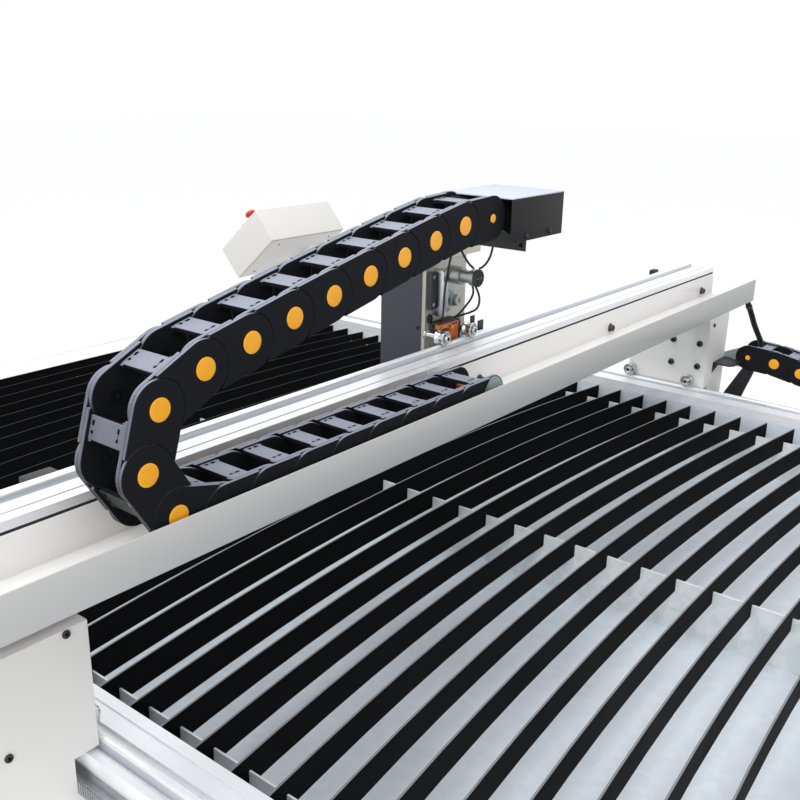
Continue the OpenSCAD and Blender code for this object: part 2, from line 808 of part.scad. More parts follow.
module carriage_roller(y)
    color("gainsboro") translate([beam_rod_x, y, carriage_roller_z]) rotate([0, 90, 0])
        roller(carriage_roller_d, 19.4, 4 + fit, 2);

module carriage_roller_near() carriage_roller(carriage_roller_y[0]);
module carriage_roller_far() carriage_roller(carriage_roller_y[1]);

module carriage_motor()
    color([0.15, 0.15, 0.16]) translate([plate_x, drive_y, drive_z]) rotate([0, -90, 0])
        motor_body(56, 74, 8, 4, 32);

module carriage_pinion()
    color("gray") translate([beam_x - beam_d - rack[0] + 1, drive_y, drive_z]) rotate([0, 90, 0])
        difference() {
            cylinder(r = pinion_r, h = rack[0] - 2);
            translate([0, 0, -1]) cylinder(r = 4 + fit, h = rack[0]);
        }

module lift_gearbox()
    color("silver") difference() {
        union() {
            block([plate_x + plate_t, -143, 1162], [-83, -124, 1244]);
            block([plate_x + plate_t, -124, 1166], [-89, -92, 1240]);
            translate([plate_x + plate_t, -100, 1186]) rotate([0, 90, 0]) cylinder(r = 12, h = 26);
        }
        translate([-95, lift_motor_y, lift_motor_z]) rotate([0, 90, 0]) cylinder(r = 4 + fit, h = 20);
    }

module lift_motor()
    color("silver") translate([-83, lift_motor_y, lift_motor_z]) rotate([0, 90, 0]) {
        cylinder(r = 15.5, h = 30);
        translate([0, 0, 30 - eps]) cylinder(r = 11, h = 18);
        translate([0, 0, 48]) cylinder(r = 15.5, h = 16);
        translate([0, 0, -10]) cylinder(r = 4, h = 10 + eps);
    }

// Two switches over the beam with their bracket, and the sensor beside the gearbox
module limit_switches() {
    x0 = plate_x + plate_t;
    color("orange") {
        block([-94, -150, 1139], [-84, -116.2, 1148]);
        block([-94, -116, 1115], [-84, -92, 1148]);
    }
    color([0.1, 0.1, 0.1]) {
        block([x0, -150, 1148], [-86, -86, 1151]);
        block([x0, -150, 1130], [x0 + 5, -86, 1151]);
        block([-94, -91.8, 1115], [-84, -86, 1148]);
        block([x0, -160, 1175], [x0 + 8, -143.2, 1240]);
        block([x0, plate_y[1] - 12, 1116], [x0 + 3, plate_y[1], 1140]);
        block([x0, plate_y[1] - 12, 1115], [x0 + 3, -12, 1118]);
        block([x0, -26, 1115], [x0 + 20, -10, 1118]);
        block([x0 + 17, -26, 1115], [x0 + 20, -10, 1134]);
    }
}

// Folded black hood over the end of the beam chain, open towards the chain and below
module chain_hood() {
    t = 2;
    x = hood_x;
    y = hood_y;
    z = hood_z;
    color([0.2, 0.2, 0.2]) {
        block([x[0], y[0], z[1] - t], [x[1], y[1], z[1]]);
        block([x[1] - t, y[0], z[0]], [x[1], y[1], z[1]]);
        block([x[0], y[0], 1352], [x[0] + t, y[1], z[1]]);
        block([x[0], y[1] - t, z[0]], [x[1], y[1], z[1]]);
    }
}

// Angle across the carriage, its fork for the chain and the cream gusset below the hood
module hood_bracket() {
    end_pin = pin_at(chain_start, chain_headings, len(chain_headings));
    lug = 3;
    x0 = plate_x + plate_t;
    color([0.13, 0.13, 0.14]) {
        difference() {
            block([x0, cross_y - 3, 1306], [105, cross_y, 1345]);
            translate([97, cross_y - 4, 1315]) rotate([-90, 0, 0]) cylinder(d = 7, h = 6);
        }
        block([x0, cross_y - 3, 1342], [108, hood_y[1] - 2, 1345]);
        block([105, cross_y - 3, 1325], [108, hood_y[1] - 2, 1345]);
        for (x = [chain_x + side_t - link_t + 1, chain_x + chain_w - side_t + link_t - 1 - lug])
            translate([x, 0, 0]) rotate([90, 0, 90]) linear_extrude(lug) difference() {
                union() {
                    translate(end_pin) circle(r = link_r - 4);
                    translate([end_pin[0], 1345]) square([cross_y - end_pin[0], end_pin[1] + 15 - 1345]);
                    translate([cross_y - 24, 1330]) square([24 - 3, 30]);
                }
                translate(end_pin) circle(d = pin_d + 2 * fit);
            }
    }
    color("ivory") {
        block([x0, cross_y, 1258], [x0 + 3, -5, 1345]);
        block([x0 - 8, -160, plate_z[1]], [x0, -60, 1300]);
    }
}

// Thin wires from the hood to the lift motor and on to the limit switches
wire_motor = [[-60, -160, 1341], [-56, -158, 1320], [-50, -154, 1300], [-44, -150, 1285],
    [-38, -146, 1272], [-33, -141, 1262], [-30, -137, 1257], [-28, -134, 1254]];
wire_loop = [[-20, -110, 1341], [-16, -104, 1320], [-14, -100, 1300], [-16, -100, 1280],
    [-20, -104, 1264], [-25, -112, 1254], [-28, -118, 1251]];
wire_sensor = [[-50, -150, 1341], [-56, -150, 1310], [-64, -148, 1280], [-72, -146, 1250],
    [-76, -146, 1225], [-78, -147, 1200], [-79, -147, 1178], [-81, -146, 1163], [-88, -140, 1152.8]];
wire_switch_a = [[-36, -124, 1222], [-38, -118, 1210], [-46, -112, 1196], [-58, -108, 1182],
    [-70, -106, 1168], [-80, -104, 1159], [-88, -102, 1153.5]];
wire_switch_b = [[-32, -122, 1222], [-30, -114, 1208], [-34, -104, 1192], [-44, -96, 1176],
    [-60, -92, 1166], [-76, -91, 1159], [-88, -90, 1153.5]];
module carriage_cables()
    color([0.08, 0.08, 0.08])
        for (wire = [wire_motor, wire_loop, wire_sensor, wire_switch_a, wire_switch_b])
            cable(wire, 2, 8);

// ---------------------------------------------------------------- torch lifter

module lift_rail()
    color("gainsboro") block([plate_x - 12, lift_y - 7, 1085], [plate_x, lift_y + 7, 1282]);

// Sliding block with the two clamps of the torch
module torch_holder()
    color([0.3, 0.3, 0.32]) difference() {
        union() {
            block([plate_x - 35, lift_y - 16, 1096], [plate_x - 12 - gap, lift_y + 16, 1206]);
            for (z = [1100, 1172])
                block([cover_x + 5, lift_y - 20, z], [plate_x - 35 + eps, lift_y + 20, z + 30]);
        }
        translate([torch_x, lift_y, 1090]) cylinder(d = torch_d + 2 * fit, h = 130);
    }

module torch()
    color([0.1, 0.1, 0.1]) translate([torch_x, lift_y, 0]) {
        translate([0, 0, torch_z + 60]) cylinder(d = torch_d, h = torch_top - torch_z - 60);
        translate([0, 0, torch_z + 20]) cylinder(d1 = 22, d2 = torch_d - 3, h = 40 + eps);
        translate([0, 0, torch_z]) cylinder(d1 = 10, d2 = 20, h = 20 + eps);
        translate([0, 0, torch_top - eps]) cylinder(d = 18, h = 8);
    }

// ---------------------------------------------------------------- nodes

placed() bed_frame();
placed() levelling_feet();
placed() slag_pan();
placed() bearers();
placed() slats();
placed() rail_profiles();
placed() rail_rods();
placed() rail_racks();
placed() side_chain_trough();
placed() side_chain_lower();
placed() console_arm();
placed() console_box();
placed() console_back();
placed() console_screen();
placed() estop_button();
placed() start_button();
placed() stop_button();
placed() side_chain_bend();
placed() beam_tube();
placed() beam_profile();
placed() beam_rod();
placed() beam_rack();
placed() end_box_right();
placed() end_box_left();
placed() chain_tray();
placed() gantry_axles();
placed() chain_anchor();
placed() beam_stops();
placed() side_chain_bracket();
placed() side_chain_upper();
placed() gantry_cables();
placed() drive_motors();
placed() chain_links_lower();
placed() chain_caps_lower();
placed() gantry_roller_front_right();
placed() gantry_roller_rear_right();
placed() gantry_roller_front_left();
placed() gantry_roller_rear_left();
placed() drive_pinion_right();
placed() drive_pinion_left();
placed() chain_links_bend();
placed() chain_caps_bend();
placed() carriage_plate();
placed() carriage_cover();
placed() carriage_axles();
placed() carriage_motor();
placed() lift_gearbox();
placed() lift_motor();
placed() limit_switches();
placed() chain_hood();
placed() hood_bracket();
placed() carriage_cables();
placed() chain_links_upper();
placed() chain_caps_upper();
placed() carriage_roller_near();
placed() carriage_roller_far();
placed() carriage_pinion();
placed() lift_rail();
placed() torch_holder();
placed() torch();
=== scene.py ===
"""Looks of a plasma cutting table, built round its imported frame.

Lengths are in millimetres on the machine's own axes until a piece is finished:
X along the gantry's travel from the beam's face, Y across the bed from its middle, Z up.
"""
import logging
import math
from dataclasses import dataclass, field
from enum import Enum
from typing import Iterable, Sequence

import bmesh
import bpy
from mathutils import Matrix, Vector

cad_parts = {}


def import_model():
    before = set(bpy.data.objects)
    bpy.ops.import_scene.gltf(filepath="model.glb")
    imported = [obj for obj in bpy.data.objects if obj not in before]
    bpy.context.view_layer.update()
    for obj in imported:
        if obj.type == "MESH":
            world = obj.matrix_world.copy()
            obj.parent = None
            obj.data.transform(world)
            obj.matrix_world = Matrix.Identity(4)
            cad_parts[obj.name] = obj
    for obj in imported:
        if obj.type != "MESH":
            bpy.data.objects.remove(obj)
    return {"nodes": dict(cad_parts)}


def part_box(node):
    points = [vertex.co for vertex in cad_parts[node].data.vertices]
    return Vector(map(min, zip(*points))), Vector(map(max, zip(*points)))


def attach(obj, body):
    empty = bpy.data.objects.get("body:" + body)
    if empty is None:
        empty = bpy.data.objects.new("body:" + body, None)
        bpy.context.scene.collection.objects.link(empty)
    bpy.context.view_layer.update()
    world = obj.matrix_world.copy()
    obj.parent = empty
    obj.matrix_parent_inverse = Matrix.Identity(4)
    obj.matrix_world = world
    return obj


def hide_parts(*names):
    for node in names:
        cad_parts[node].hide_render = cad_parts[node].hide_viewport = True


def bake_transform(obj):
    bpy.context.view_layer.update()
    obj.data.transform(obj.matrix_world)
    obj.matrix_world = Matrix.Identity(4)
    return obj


log = logging.getLogger("plasma_table")
MM = 0.001
RACK_TOOTH = 4.712
RUNS = ("lower", "bend", "upper")
BEAM_CHAIN_START = (-173.5, 1082.5)
SIDE_CHAIN_END = (63.0, 860.0)
Material = bpy.types.Material
Mesh = bpy.types.Mesh
Socket = bpy.types.NodeSocket
Solid = bmesh.types.BMesh
Tree = bpy.types.NodeTree
Point = Sequence[float]
Colour = tuple[int, int, int]
Range = tuple[float, float]


def linear(rgb: Sequence[int]) -> tuple[float, float, float, float]:
    """Turns a paint chip's red, green and blue, 0 to 255, into a linear colour."""
    def one(c: float) -> float:
        """Linear value of one channel."""
        c /= 255
        return c / 12.92 if c <= 0.04045 else ((c + 0.055) / 1.055) ** 2.4
    return (one(rgb[0]), one(rgb[1]), one(rgb[2]), 1.0)


def put(node: bpy.types.Node, values: dict[str, object]) -> None:
    """Sets a node's inputs by their names."""
    for label, value in values.items():
        node.inputs[label].default_value = value


def placed(name: str, data: bpy.types.ID) -> bpy.types.Object:
    """A new object in the scene, at its origin."""
    made = bpy.data.objects.new(name, data)
    bpy.context.scene.collection.objects.link(made)
    return made


# ---- finishes

class Effects:
    """Shader groups that the finishes share, each built once."""

    made: dict[str, Tree] = {}

    @classmethod
    def _start(cls, name: str, ins: dict[str, tuple[str, object]],
               outs: dict[str, str]) -> Tree:
        """Makes an empty group.

        Args:
            name: the group's name.
            ins: each input's socket kind and default.
            outs: each output's socket kind.

        Returns:
            The group with its input and output nodes named In and Out.
        """
        tree = bpy.data.node_groups.new(name, "ShaderNodeTree")
        for label, (kind, value) in ins.items():
            made = tree.interface.new_socket(label, in_out="INPUT", socket_type=kind)
            made.default_value = value
        for label, kind in outs.items():
            tree.interface.new_socket(label, in_out="OUTPUT", socket_type=kind)
        tree.nodes.new("NodeGroupInput").name = "In"
        tree.nodes.new("NodeGroupOutput").name = "Out"
        cls.made[name] = tree
        return tree

    @classmethod
    def grain(cls) -> Tree:
        """Slow drift and fine grain of a surface, from its object coordinates."""
        if "grain" in cls.made:
            return cls.made["grain"]
        tree = cls._start(
            "grain",
            {"Stretch": ("NodeSocketVector", (1, 1, 1)), "Drift Scale": ("NodeSocketFloat", 3.0),
             "Grain Scale": ("NodeSocketFloat", 900.0)},
            {"Drift": "NodeSocketFloat", "Grain": "NodeSocketFloat"})
        nodes, link = tree.nodes, tree.links.new
        place = nodes.new("ShaderNodeTexCoord")
        stretch = nodes.new("ShaderNodeVectorMath")
        stretch.operation = "MULTIPLY"
        link(place.outputs["Object"], stretch.inputs[0])
        link(nodes["In"].outputs["Stretch"], stretch.inputs[1])
        for label, source, detail in (("Drift", place.outputs["Object"], 3.0),
                                      ("Grain", stretch.outputs[0], 2.0)):
            noise = nodes.new("ShaderNodeTexNoise")
            noise.inputs["Detail"].default_value = detail
            link(source, noise.inputs["Vector"])
            link(nodes["In"].outputs[label + " Scale"], noise.inputs["Scale"])
            link(noise.outputs["Fac"], nodes["Out"].inputs[label])
        return tree

    @classmethod
    def edge_wear_and_highlight(cls) -> Tree:
        """Softened normal, and a mask that is 1 on an edge."""
        if "edge_wear_and_highlight" in cls.made:
            return cls.made["edge_wear_and_highlight"]
        tree = cls._start("edge_wear_and_highlight", {"Radius": ("NodeSocketFloat", 0.001)},
                          {"Edge": "NodeSocketFloat", "Normal": "NodeSocketVector"})
        nodes, link = tree.nodes, tree.links.new
        bevel = nodes.new("ShaderNodeBevel")
        bevel.samples = 4
        flat = nodes.new("ShaderNodeNewGeometry")
        dot = nodes.new("ShaderNodeVectorMath")
        dot.operation = "DOT_PRODUCT"
        ramp = nodes.new("ShaderNodeMapRange")
        put(ramp, {"From Min": 0.995, "From Max": 0.9})
        link(nodes["In"].outputs["Radius"], bevel.inputs["Radius"])
        link(bevel.outputs["Normal"], dot.inputs[0])
        link(flat.outputs["Normal"], dot.inputs[1])
        link(dot.outputs["Value"], ramp.inputs["Value"])
        link(ramp.outputs["Result"], nodes["Out"].inputs["Edge"])
        link(bevel.outputs["Normal"], nodes["Out"].inputs["Normal"])
        return tree


@dataclass(frozen=True)
class Finish:
    """A surface finish: colour, gloss, grain, and a paler colour on its edges that is partly wear
    and partly a painted highlight.
    """

    name: str
    colour: Colour
    roughness: float = 0.42
    metal: float = 0.0
    specular: float = 0.5
    coat: float = 0.0
    drift: float = 0.06
    drift_scale: float = 2.5
    grain_scale: float = 700.0
    stretch: tuple[float, float, float] = (1, 1, 1)
    grain: float = 0.04
    bump: float = 0.02
    edge: Colour | None = None
    edge_radius: float = 0.6

    def build(self) -> Material:
        """Makes the material, or returns it if it is there.

        Returns:
            The material with its procedural nodes.
        """
        known = bpy.data.materials.get(self.name)
        if known:
            return known
        mat = bpy.data.materials.new(self.name)
        mat.use_nodes = True
        nodes, link = mat.node_tree.nodes, mat.node_tree.links.new
        shader = nodes["Principled BSDF"]
        put(shader, {"Metallic": self.metal, "Specular IOR Level": self.specular,
                     "Coat Weight": self.coat, "Coat Roughness": 0.15})
        grain = nodes.new("ShaderNodeGroup")
        grain.node_tree = Effects.grain()
        put(grain, {"Stretch": self.stretch, "Drift Scale": self.drift_scale,
                    "Grain Scale": self.grain_scale})
        colour = self.tone(mat, grain)
        rough = nodes.new("ShaderNodeMapRange")
        put(rough, {"To Min": max(0.03, self.roughness - 2 * self.grain),
                    "To Max": min(1.0, self.roughness + 2 * self.grain)})
        link(grain.outputs["Drift"], rough.inputs["Value"])
        link(rough.outputs["Result"], shader.inputs["Roughness"])
        edge_group = nodes.new("ShaderNodeGroup")
        edge_group.node_tree = Effects.edge_wear_and_highlight()
        edge_group.inputs["Radius"].default_value = self.edge_radius * MM
        # The paler edge colour is partly wear and partly a painted highlight along the edges.
        if self.edge:
            mix = self.mixer(mat, colour, linear(self.edge))
            link(edge_group.outputs["Edge"], mix.inputs["Factor"])
            colour = mix.outputs["Result"]
        bump = nodes.new("ShaderNodeBump")
        put(bump, {"Strength": self.bump * 5, "Distance": 0.2 * MM})
        link(grain.outputs["Grain"], bump.inputs["Height"])
        link(edge_group.outputs["Normal"], bump.inputs["Normal"])
        link(bump.outputs["Normal"], shader.inputs["Normal"])
        link(colour, shader.inputs["Base Color"])
        return mat

    @staticmethod
    def mixer(mat: Material, first: Socket,
              second: Sequence[float]) -> bpy.types.Node:
        """A colour mix of a socket and a fixed colour, its factor still free."""
        mix = mat.node_tree.nodes.new("ShaderNodeMix")
        mix.data_type = "RGBA"
        mat.node_tree.links.new(first, mix.inputs["A"])
        mix.inputs["B"].default_value = second
        return mix

    @staticmethod
    def product(mat: Material, first: Socket,
                second: Socket) -> Socket:
        """The product of two colours."""
        mix = mat.node_tree.nodes.new("ShaderNodeMix")
        mix.data_type = "RGBA"
        mix.blend_type = "MULTIPLY"
        mix.inputs["Factor"].default_value = 1.0
        mat.node_tree.links.new(first, mix.inputs["A"])
        mat.node_tree.links.new(second, mix.inputs["B"])
        return mix.outputs["Result"]

    def ramp(self, mat: Material, source: Socket,
             stops: Sequence[tuple[float, Sequence[float]]]) -> Socket:
        """Colours along a value.

        Args:
            mat: the material.
            source: the value that picks the colour.
            stops: place and linear colour of each stop.

        Returns:
            The colour socket.
        """
        ramp = mat.node_tree.nodes.new("ShaderNodeValToRGB")
        while len(ramp.color_ramp.elements) < len(stops):
            ramp.color_ramp.elements.new(0.5)
        for element, (place, colour) in zip(ramp.color_ramp.elements, stops):
            element.position = place
            element.color = colour
        mat.node_tree.links.new(source, ramp.inputs["Fac"])
        return ramp.outputs["Color"]

    def tone(self, mat: Material, grain: bpy.types.Node) -> Socket:
        """The finish's own colour over the surface, before wear.

        Args:
            mat: the material.
            grain: its grain group.

        Returns:
            The colour socket.
        """
        base = linear(self.colour)
        low = tuple(c * (1 - self.drift) for c in base[:3]) + (1.0,)
        high = tuple(min(1.0, c * (1 + self.drift)) for c in base[:3]) + (1.0,)
        slow = self.ramp(mat, grain.outputs["Drift"], ((0.3, low), (0.7, high)))
        fine = self.ramp(mat, grain.outputs["Grain"],
                         ((0.3, (1 - self.grain,) * 3 + (1.0,)), (0.7, (1.0,) * 4)))
        return self.product(mat, slow, fine)


@dataclass(frozen=True)
class Galvanised(Finish):
    """Zinc-coated sheet with its soft spangle."""

    spangle_scale: float = 70.0
    spangle: float = 0.12

    def tone(self, mat: Material, grain: bpy.types.Node) -> Socket:
        """Drifting grey with crystal patches, returned as a colour socket."""
        nodes, link = mat.node_tree.nodes, mat.node_tree.links.new
        plain = Finish.tone(self, mat, grain)
        place = nodes.new("ShaderNodeTexCoord")
        cells = nodes.new("ShaderNodeTexVoronoi")
        cells.inputs["Scale"].default_value = self.spangle_scale
        link(place.outputs["Object"], cells.inputs["Vector"])
        split = nodes.new("ShaderNodeSeparateColor")
        link(cells.outputs["Color"], split.inputs["Color"])
        patch = self.ramp(mat, split.outputs["Red"],
                          ((0.0, (1 - self.spangle,) * 3 + (1.0,)), (1.0, (1.0,) * 4)))
        return self.product(mat, plain, patch)


@dataclass(frozen=True)
class TopLit(Finish):
    """Surface that is paler where it faces up: a painted highlight of the light from above.

    span is the range of the normal's height over which it turns pale, and the last field the
    range along X over which the painted highlight sets in.
    """

    top_highlight: Colour = (128, 130, 134)
    span: Range = (0.7, 0.9)
    highlight_fade_x: Range | None = None

    def tone(self, mat: Material, grain: bpy.types.Node) -> Socket:
        """The finish's colour, with the painted highlight where the surface faces up."""
        nodes, link = mat.node_tree.nodes, mat.node_tree.links.new
        plain = Finish.tone(self, mat, grain)
        flat = nodes.new("ShaderNodeNewGeometry")
        split = nodes.new("ShaderNodeSeparateXYZ")
        link(flat.outputs["True Normal"], split.inputs["Vector"])
        up = nodes.new("ShaderNodeMapRange")
        put(up, {"From Min": self.span[0], "From Max": self.span[1]})
        link(split.outputs["Z"], up.inputs["Value"])
        # Painted highlight: the pale colour is mixed in where the surface faces up.
        mix = self.mixer(mat, plain, linear(self.top_highlight))
        share = up.outputs["Result"]
        # The painted highlight is weaker at low X and grows over the given range.
        if self.highlight_fade_x:
            place = nodes.new("ShaderNodeSeparateXYZ")
            link(flat.outputs["Position"], place.inputs["Vector"])
            along = nodes.new("ShaderNodeMapRange")
            put(along, {"From Min": self.highlight_fade_x[0], "From Max": self.highlight_fade_x[1], "To Min": 0.12})
            link(place.outputs["X"], along.inputs["Value"])
            both = nodes.new("ShaderNodeMath")
            both.operation = "MULTIPLY"
            link(share, both.inputs[0])
            link(along.outputs["Result"], both.inputs[1])
            share = both.outputs[0]
        link(share, mix.inputs["Factor"])
        return mix.outputs["Result"]


class Paints:
    """Every finish of the machine."""

    WHITE = Finish("white_powder_coat", (236, 235, 233), 0.38, drift=0.02, bump=0.05,
                   grain_scale=1500, grain=0.015, edge=(244, 244, 243), coat=0.1)
    FRAME = Finish("white_frame_coat", (238, 238, 237), 0.42, drift=0.03, bump=0.05,
                   grain_scale=1300, grain=0.02, edge=(246, 246, 246))
    CONSOLE = Finish("cream_powder_coat", (221, 219, 215), 0.4, drift=0.02, bump=0.05,
                     grain_scale=1500, grain=0.012, edge=(232, 230, 226), edge_radius=1.2)
    # Painted shade: a greyer copy of the white paint for the tray's outer lip.
    LIP_SHADE = Finish("tray_lip_painted_shade", (190, 190, 190), 0.4, drift=0.02, bump=0.05,
                 grain_scale=1500, grain=0.012, edge=(214, 214, 214), edge_radius=1.0)
    CREAM = Finish("cream_sheet", (226, 218, 203), 0.45, drift=0.03)
    COVER = Finish("slate_grey_coat", (50, 54, 61), 0.5, drift=0.05, bump=0.06,
                   grain_scale=1400, grain=0.03, edge=(92, 97, 105))
    HOOD = Finish("black_grained_coat", (22, 22, 24), 0.55, specular=0.3, drift=0.05, bump=0.1,
                  grain_scale=1600, grain=0.03, edge=(66, 67, 70), edge_radius=0.5)
    # Painted highlight: a pale copy of the black hood's finish for its top sheet.
    HOOD_TOP_HIGHLIGHT = Finish("hood_top_painted_highlight", (180, 187, 198), 0.4, drift=0.02, grain=0.01, bump=0.03)
    BLACK = Finish("black_coat", (24, 24, 26), 0.5, drift=0.08, edge=(58, 59, 62))
    PROFILE = Finish("anodised_profile", (244, 246, 250), 0.3, metal=0.3, drift=0.03,
                     grain_scale=260, stretch=(0.02, 1, 1), grain=0.05, bump=0.03)
    BEAM_PROFILE = Finish("anodised_beam", (244, 246, 250), 0.3, metal=0.3, drift=0.03,
                          grain_scale=260, stretch=(1, 0.02, 1), grain=0.05, bump=0.03)
    # Painted reflection: the rod's upward face takes a pale highlight colour.
    ROD = TopLit("ground_rod_painted_highlight", (188, 193, 201), 0.25, metal=0.3, drift=0.02, grain=0.02,
                 grain_scale=500, bump=0.005, top_highlight=(244, 246, 250), span=(0.72, 0.8))
    MACHINED = Finish("machined_steel", (176, 180, 184), 0.3, metal=1.0, drift=0.06,
                      grain_scale=420, grain=0.08, bump=0.03, edge=(215, 217, 220))
    NICKEL = Finish("nickel_plate", (200, 202, 204), 0.2, metal=1.0, drift=0.04, grain=0.03,
                    bump=0.01)
    CAST = Finish("cast_zinc", (168, 173, 174), 0.42, metal=0.9, drift=0.1, drift_scale=18,
                  grain_scale=500, grain=0.1, bump=0.12)
    PLATE = Finish("brushed_plate", (186, 182, 176), 0.4, metal=0.7, drift=0.08,
                   drift_scale=6, grain_scale=420, stretch=(1, 1, 0.04), grain=0.1, bump=0.04)
    ZINC = Galvanised("galvanised_plate", (176, 192, 194), 0.38, metal=0.55, drift=0.06,
                      drift_scale=7, grain_scale=600, grain=0.04, bump=0.03)
    BEARER = Galvanised("galvanised_bearer", (232, 238, 240), 0.4, metal=0.05, drift=0.06,
                        drift_scale=5, grain_scale=600, grain=0.03, bump=0.02,
                        edge=(246, 248, 250), edge_radius=0.7)
    PAN = Galvanised("galvanised_pan", (226, 234, 242), 0.42, metal=0.1, drift=0.07,
                     drift_scale=3, grain_scale=500, grain=0.03, bump=0.02, spangle=0.06)
    # Painted highlight: the slats' upward tops turn pale, less so towards low X.
    SLAT = TopLit("mill_scale_slat", (15, 15, 16), 0.6, specular=0.04, drift=0.12,
                  drift_scale=6, grain_scale=500, stretch=(1, 0.1, 1), grain=0.06, bump=0.05,
                  highlight_fade_x=(-0.7, -0.1))
    LINK = Finish("chain_side_plastic", (26, 27, 31), 0.6, specular=0.08, drift=0.06,
                  drift_scale=12, grain_scale=1500, grain=0.04, bump=0.08)
    # Painted highlight: the rims' colour is lighter than the sides and turns paler where it faces
    # up.
    RIM = TopLit("chain_rim_painted_highlight", (58, 60, 66), 0.45, specular=0.25, drift=0.08,
                 drift_scale=20, grain_scale=900, grain=0.06, bump=0.05, top_highlight=(132, 137, 150),
                 span=(-0.2, 1.0))
    # Painted highlight: the crossbars turn paler where they face up.
    BAR = TopLit("chain_bar_painted_highlight", (40, 41, 43), 0.45, specular=0.25, drift=0.08,
                 drift_scale=16, grain_scale=1100, grain=0.06, bump=0.08, top_highlight=(138, 144, 158),
                 span=(-0.35, 1.0))
    # Painted shade: a grey strip for grooves and gaps in shadow.
    SEAM_SHADE = Finish("seam_painted_shade", (150, 146, 139), 0.7, specular=0.1)
    # Painted shade: a dark strip in the extrusion's front slot.
    SLOT_SHADE = Finish("profile_slot_painted_shade", (62, 62, 60), 0.7, specular=0.1)
    # Painted shade: the yellow caps' pin ends in a dark, shaded brown.
    PIN_END_SHADE = Finish("pin_end_painted_shade", (92, 56, 26), 0.5, specular=0.2)
    # Painted shade: dark discs, rings and blocks in holes, sockets, slots and gaps.
    RECESS_SHADE = Finish("recess_painted_shade", (14, 14, 16), 0.8, specular=0.1)
    CAP = Finish("cap_yellow_plastic", (246, 172, 38), 0.38, drift=0.03, drift_scale=30,
                 grain_scale=900, grain=0.03, bump=0.04)
    RUBBER = Finish("black_cable_sheath", (26, 26, 27), 0.45, drift=0.06, drift_scale=20,
                    grain=0.04)
    PLASTIC = Finish("black_plastic", (22, 22, 24), 0.4, drift=0.05, grain=0.03)
    SWITCH = Finish("orange_switch_plastic", (206, 108, 28), 0.42, drift=0.08,
                    drift_scale=40, grain=0.04)
    MOTOR = Finish("black_motor_shell", (34, 35, 38), 0.42, metal=0.3, drift=0.06, bump=0.05)
    RED = Finish("red_button", (206, 32, 26), 0.25, coat=0.4, drift=0.03, grain=0.02)
    GREEN = Finish("green_button", (30, 140, 62), 0.25, coat=0.4, drift=0.03, grain=0.02)
    COLLAR = Finish("bezel_chrome", (190, 192, 195), 0.22, metal=1.0, drift=0.03)
    YELLOW = Finish("button_ring_yellow", (238, 190, 40), 0.4, drift=0.03)
    SCREEN = Finish("screen_glass", (18, 20, 24), 0.08, specular=0.6, coat=0.6, drift=0.05,
                    grain=0.0, bump=0.0)
    COPPER = Finish("copper_nozzle", (190, 110, 70), 0.3, metal=1.0, drift=0.08,
                    drift_scale=40, grain=0.05)
    FOOT = Finish("foot_steel", (120, 122, 124), 0.4, metal=0.9, drift=0.08, grain=0.06)


# ---- drawing

class Outline:
    """A flat outline of lines and arcs, closed into one face."""

    def __init__(self, x: float, y: float) -> None:
        """Starts at a point."""
        self.bm = bmesh.new()
        self.last = self.bm.verts.new((x, y, 0))

    def to(self, *points: Point) -> "Outline":
        """Lines to each of the points in turn."""
        for x, y in points:
            new = self.bm.verts.new((x, y, 0))
            self.bm.edges.new((self.last, new))
            self.last = new
        return self

    def arc(self, x: float, y: float, degrees: float, steps: int = 10) -> "Outline":
        """An arc about x, y from where the outline is."""
        made = bmesh.ops.spin(self.bm, geom=[self.last], cent=(x, y, 0), axis=(0, 0, 1),
                              angle=math.radians(degrees), steps=steps, use_merge=False)
        self.last = next(g for g in made["geom_last"] if isinstance(g, bmesh.types.BMVert))
        return self

    def closed(self) -> Solid:
        """Closes the outline and returns its bmesh, with one face."""
        self.bm.verts.ensure_lookup_table()
        first = self.bm.verts[0]
        if (first.co - self.last.co).length > 1e-4:
            self.bm.edges.new((self.last, first))
        bmesh.ops.remove_doubles(self.bm, verts=self.bm.verts[:], dist=1e-4)
        bmesh.ops.contextual_create(self.bm, geom=self.bm.edges[:])
        return self.bm


def corners_of(made: dict[str, list]) -> list[bmesh.types.BMVert]:
    """The vertices among what an operator made."""
    return [g for g in made["geom"] if isinstance(g, bmesh.types.BMVert)]


def level_edges(part: Solid) -> list[bmesh.types.BMEdge]:
    """The edges of a solid that run level."""
    return [e for e in part.edges if abs(e.verts[0].co.z - e.verts[1].co.z) < 1e-4]


def rounded(part: Solid, edges: Sequence[bmesh.types.BMEdge], radius: float,
            steps: int = 1) -> None:
    """Rounds some edges of a solid, or chamfers them in one step."""
    bmesh.ops.bevel(part, geom=edges, offset=radius, offset_type="OFFSET", segments=steps,
                    profile=0.5, affect="EDGES", material=-1, clamp_overlap=True)


def upright(base: Point, axis: Point) -> Matrix:
    """A place whose z runs along an axis from a base."""
    turn = Vector(axis).to_track_quat("Z", "Y").to_matrix().to_4x4()
    return Matrix.Translation(Vector(base)) @ turn


def turned_to(base: Point, right: Point, up: Point) -> Matrix:
    """A place whose x runs along right, y along up, and z across both.

    Args:
        base: where the place's own zero lies.
        right: the direction of its x.
        up: the direction of its y.

    Returns:
        The place.
    """
    x, y = Vector(right).normalized(), Vector(up).normalized()
    turn = Matrix((x, y, x.cross(y))).transposed().to_4x4()
    return Matrix.Translation(Vector(base)) @ turn


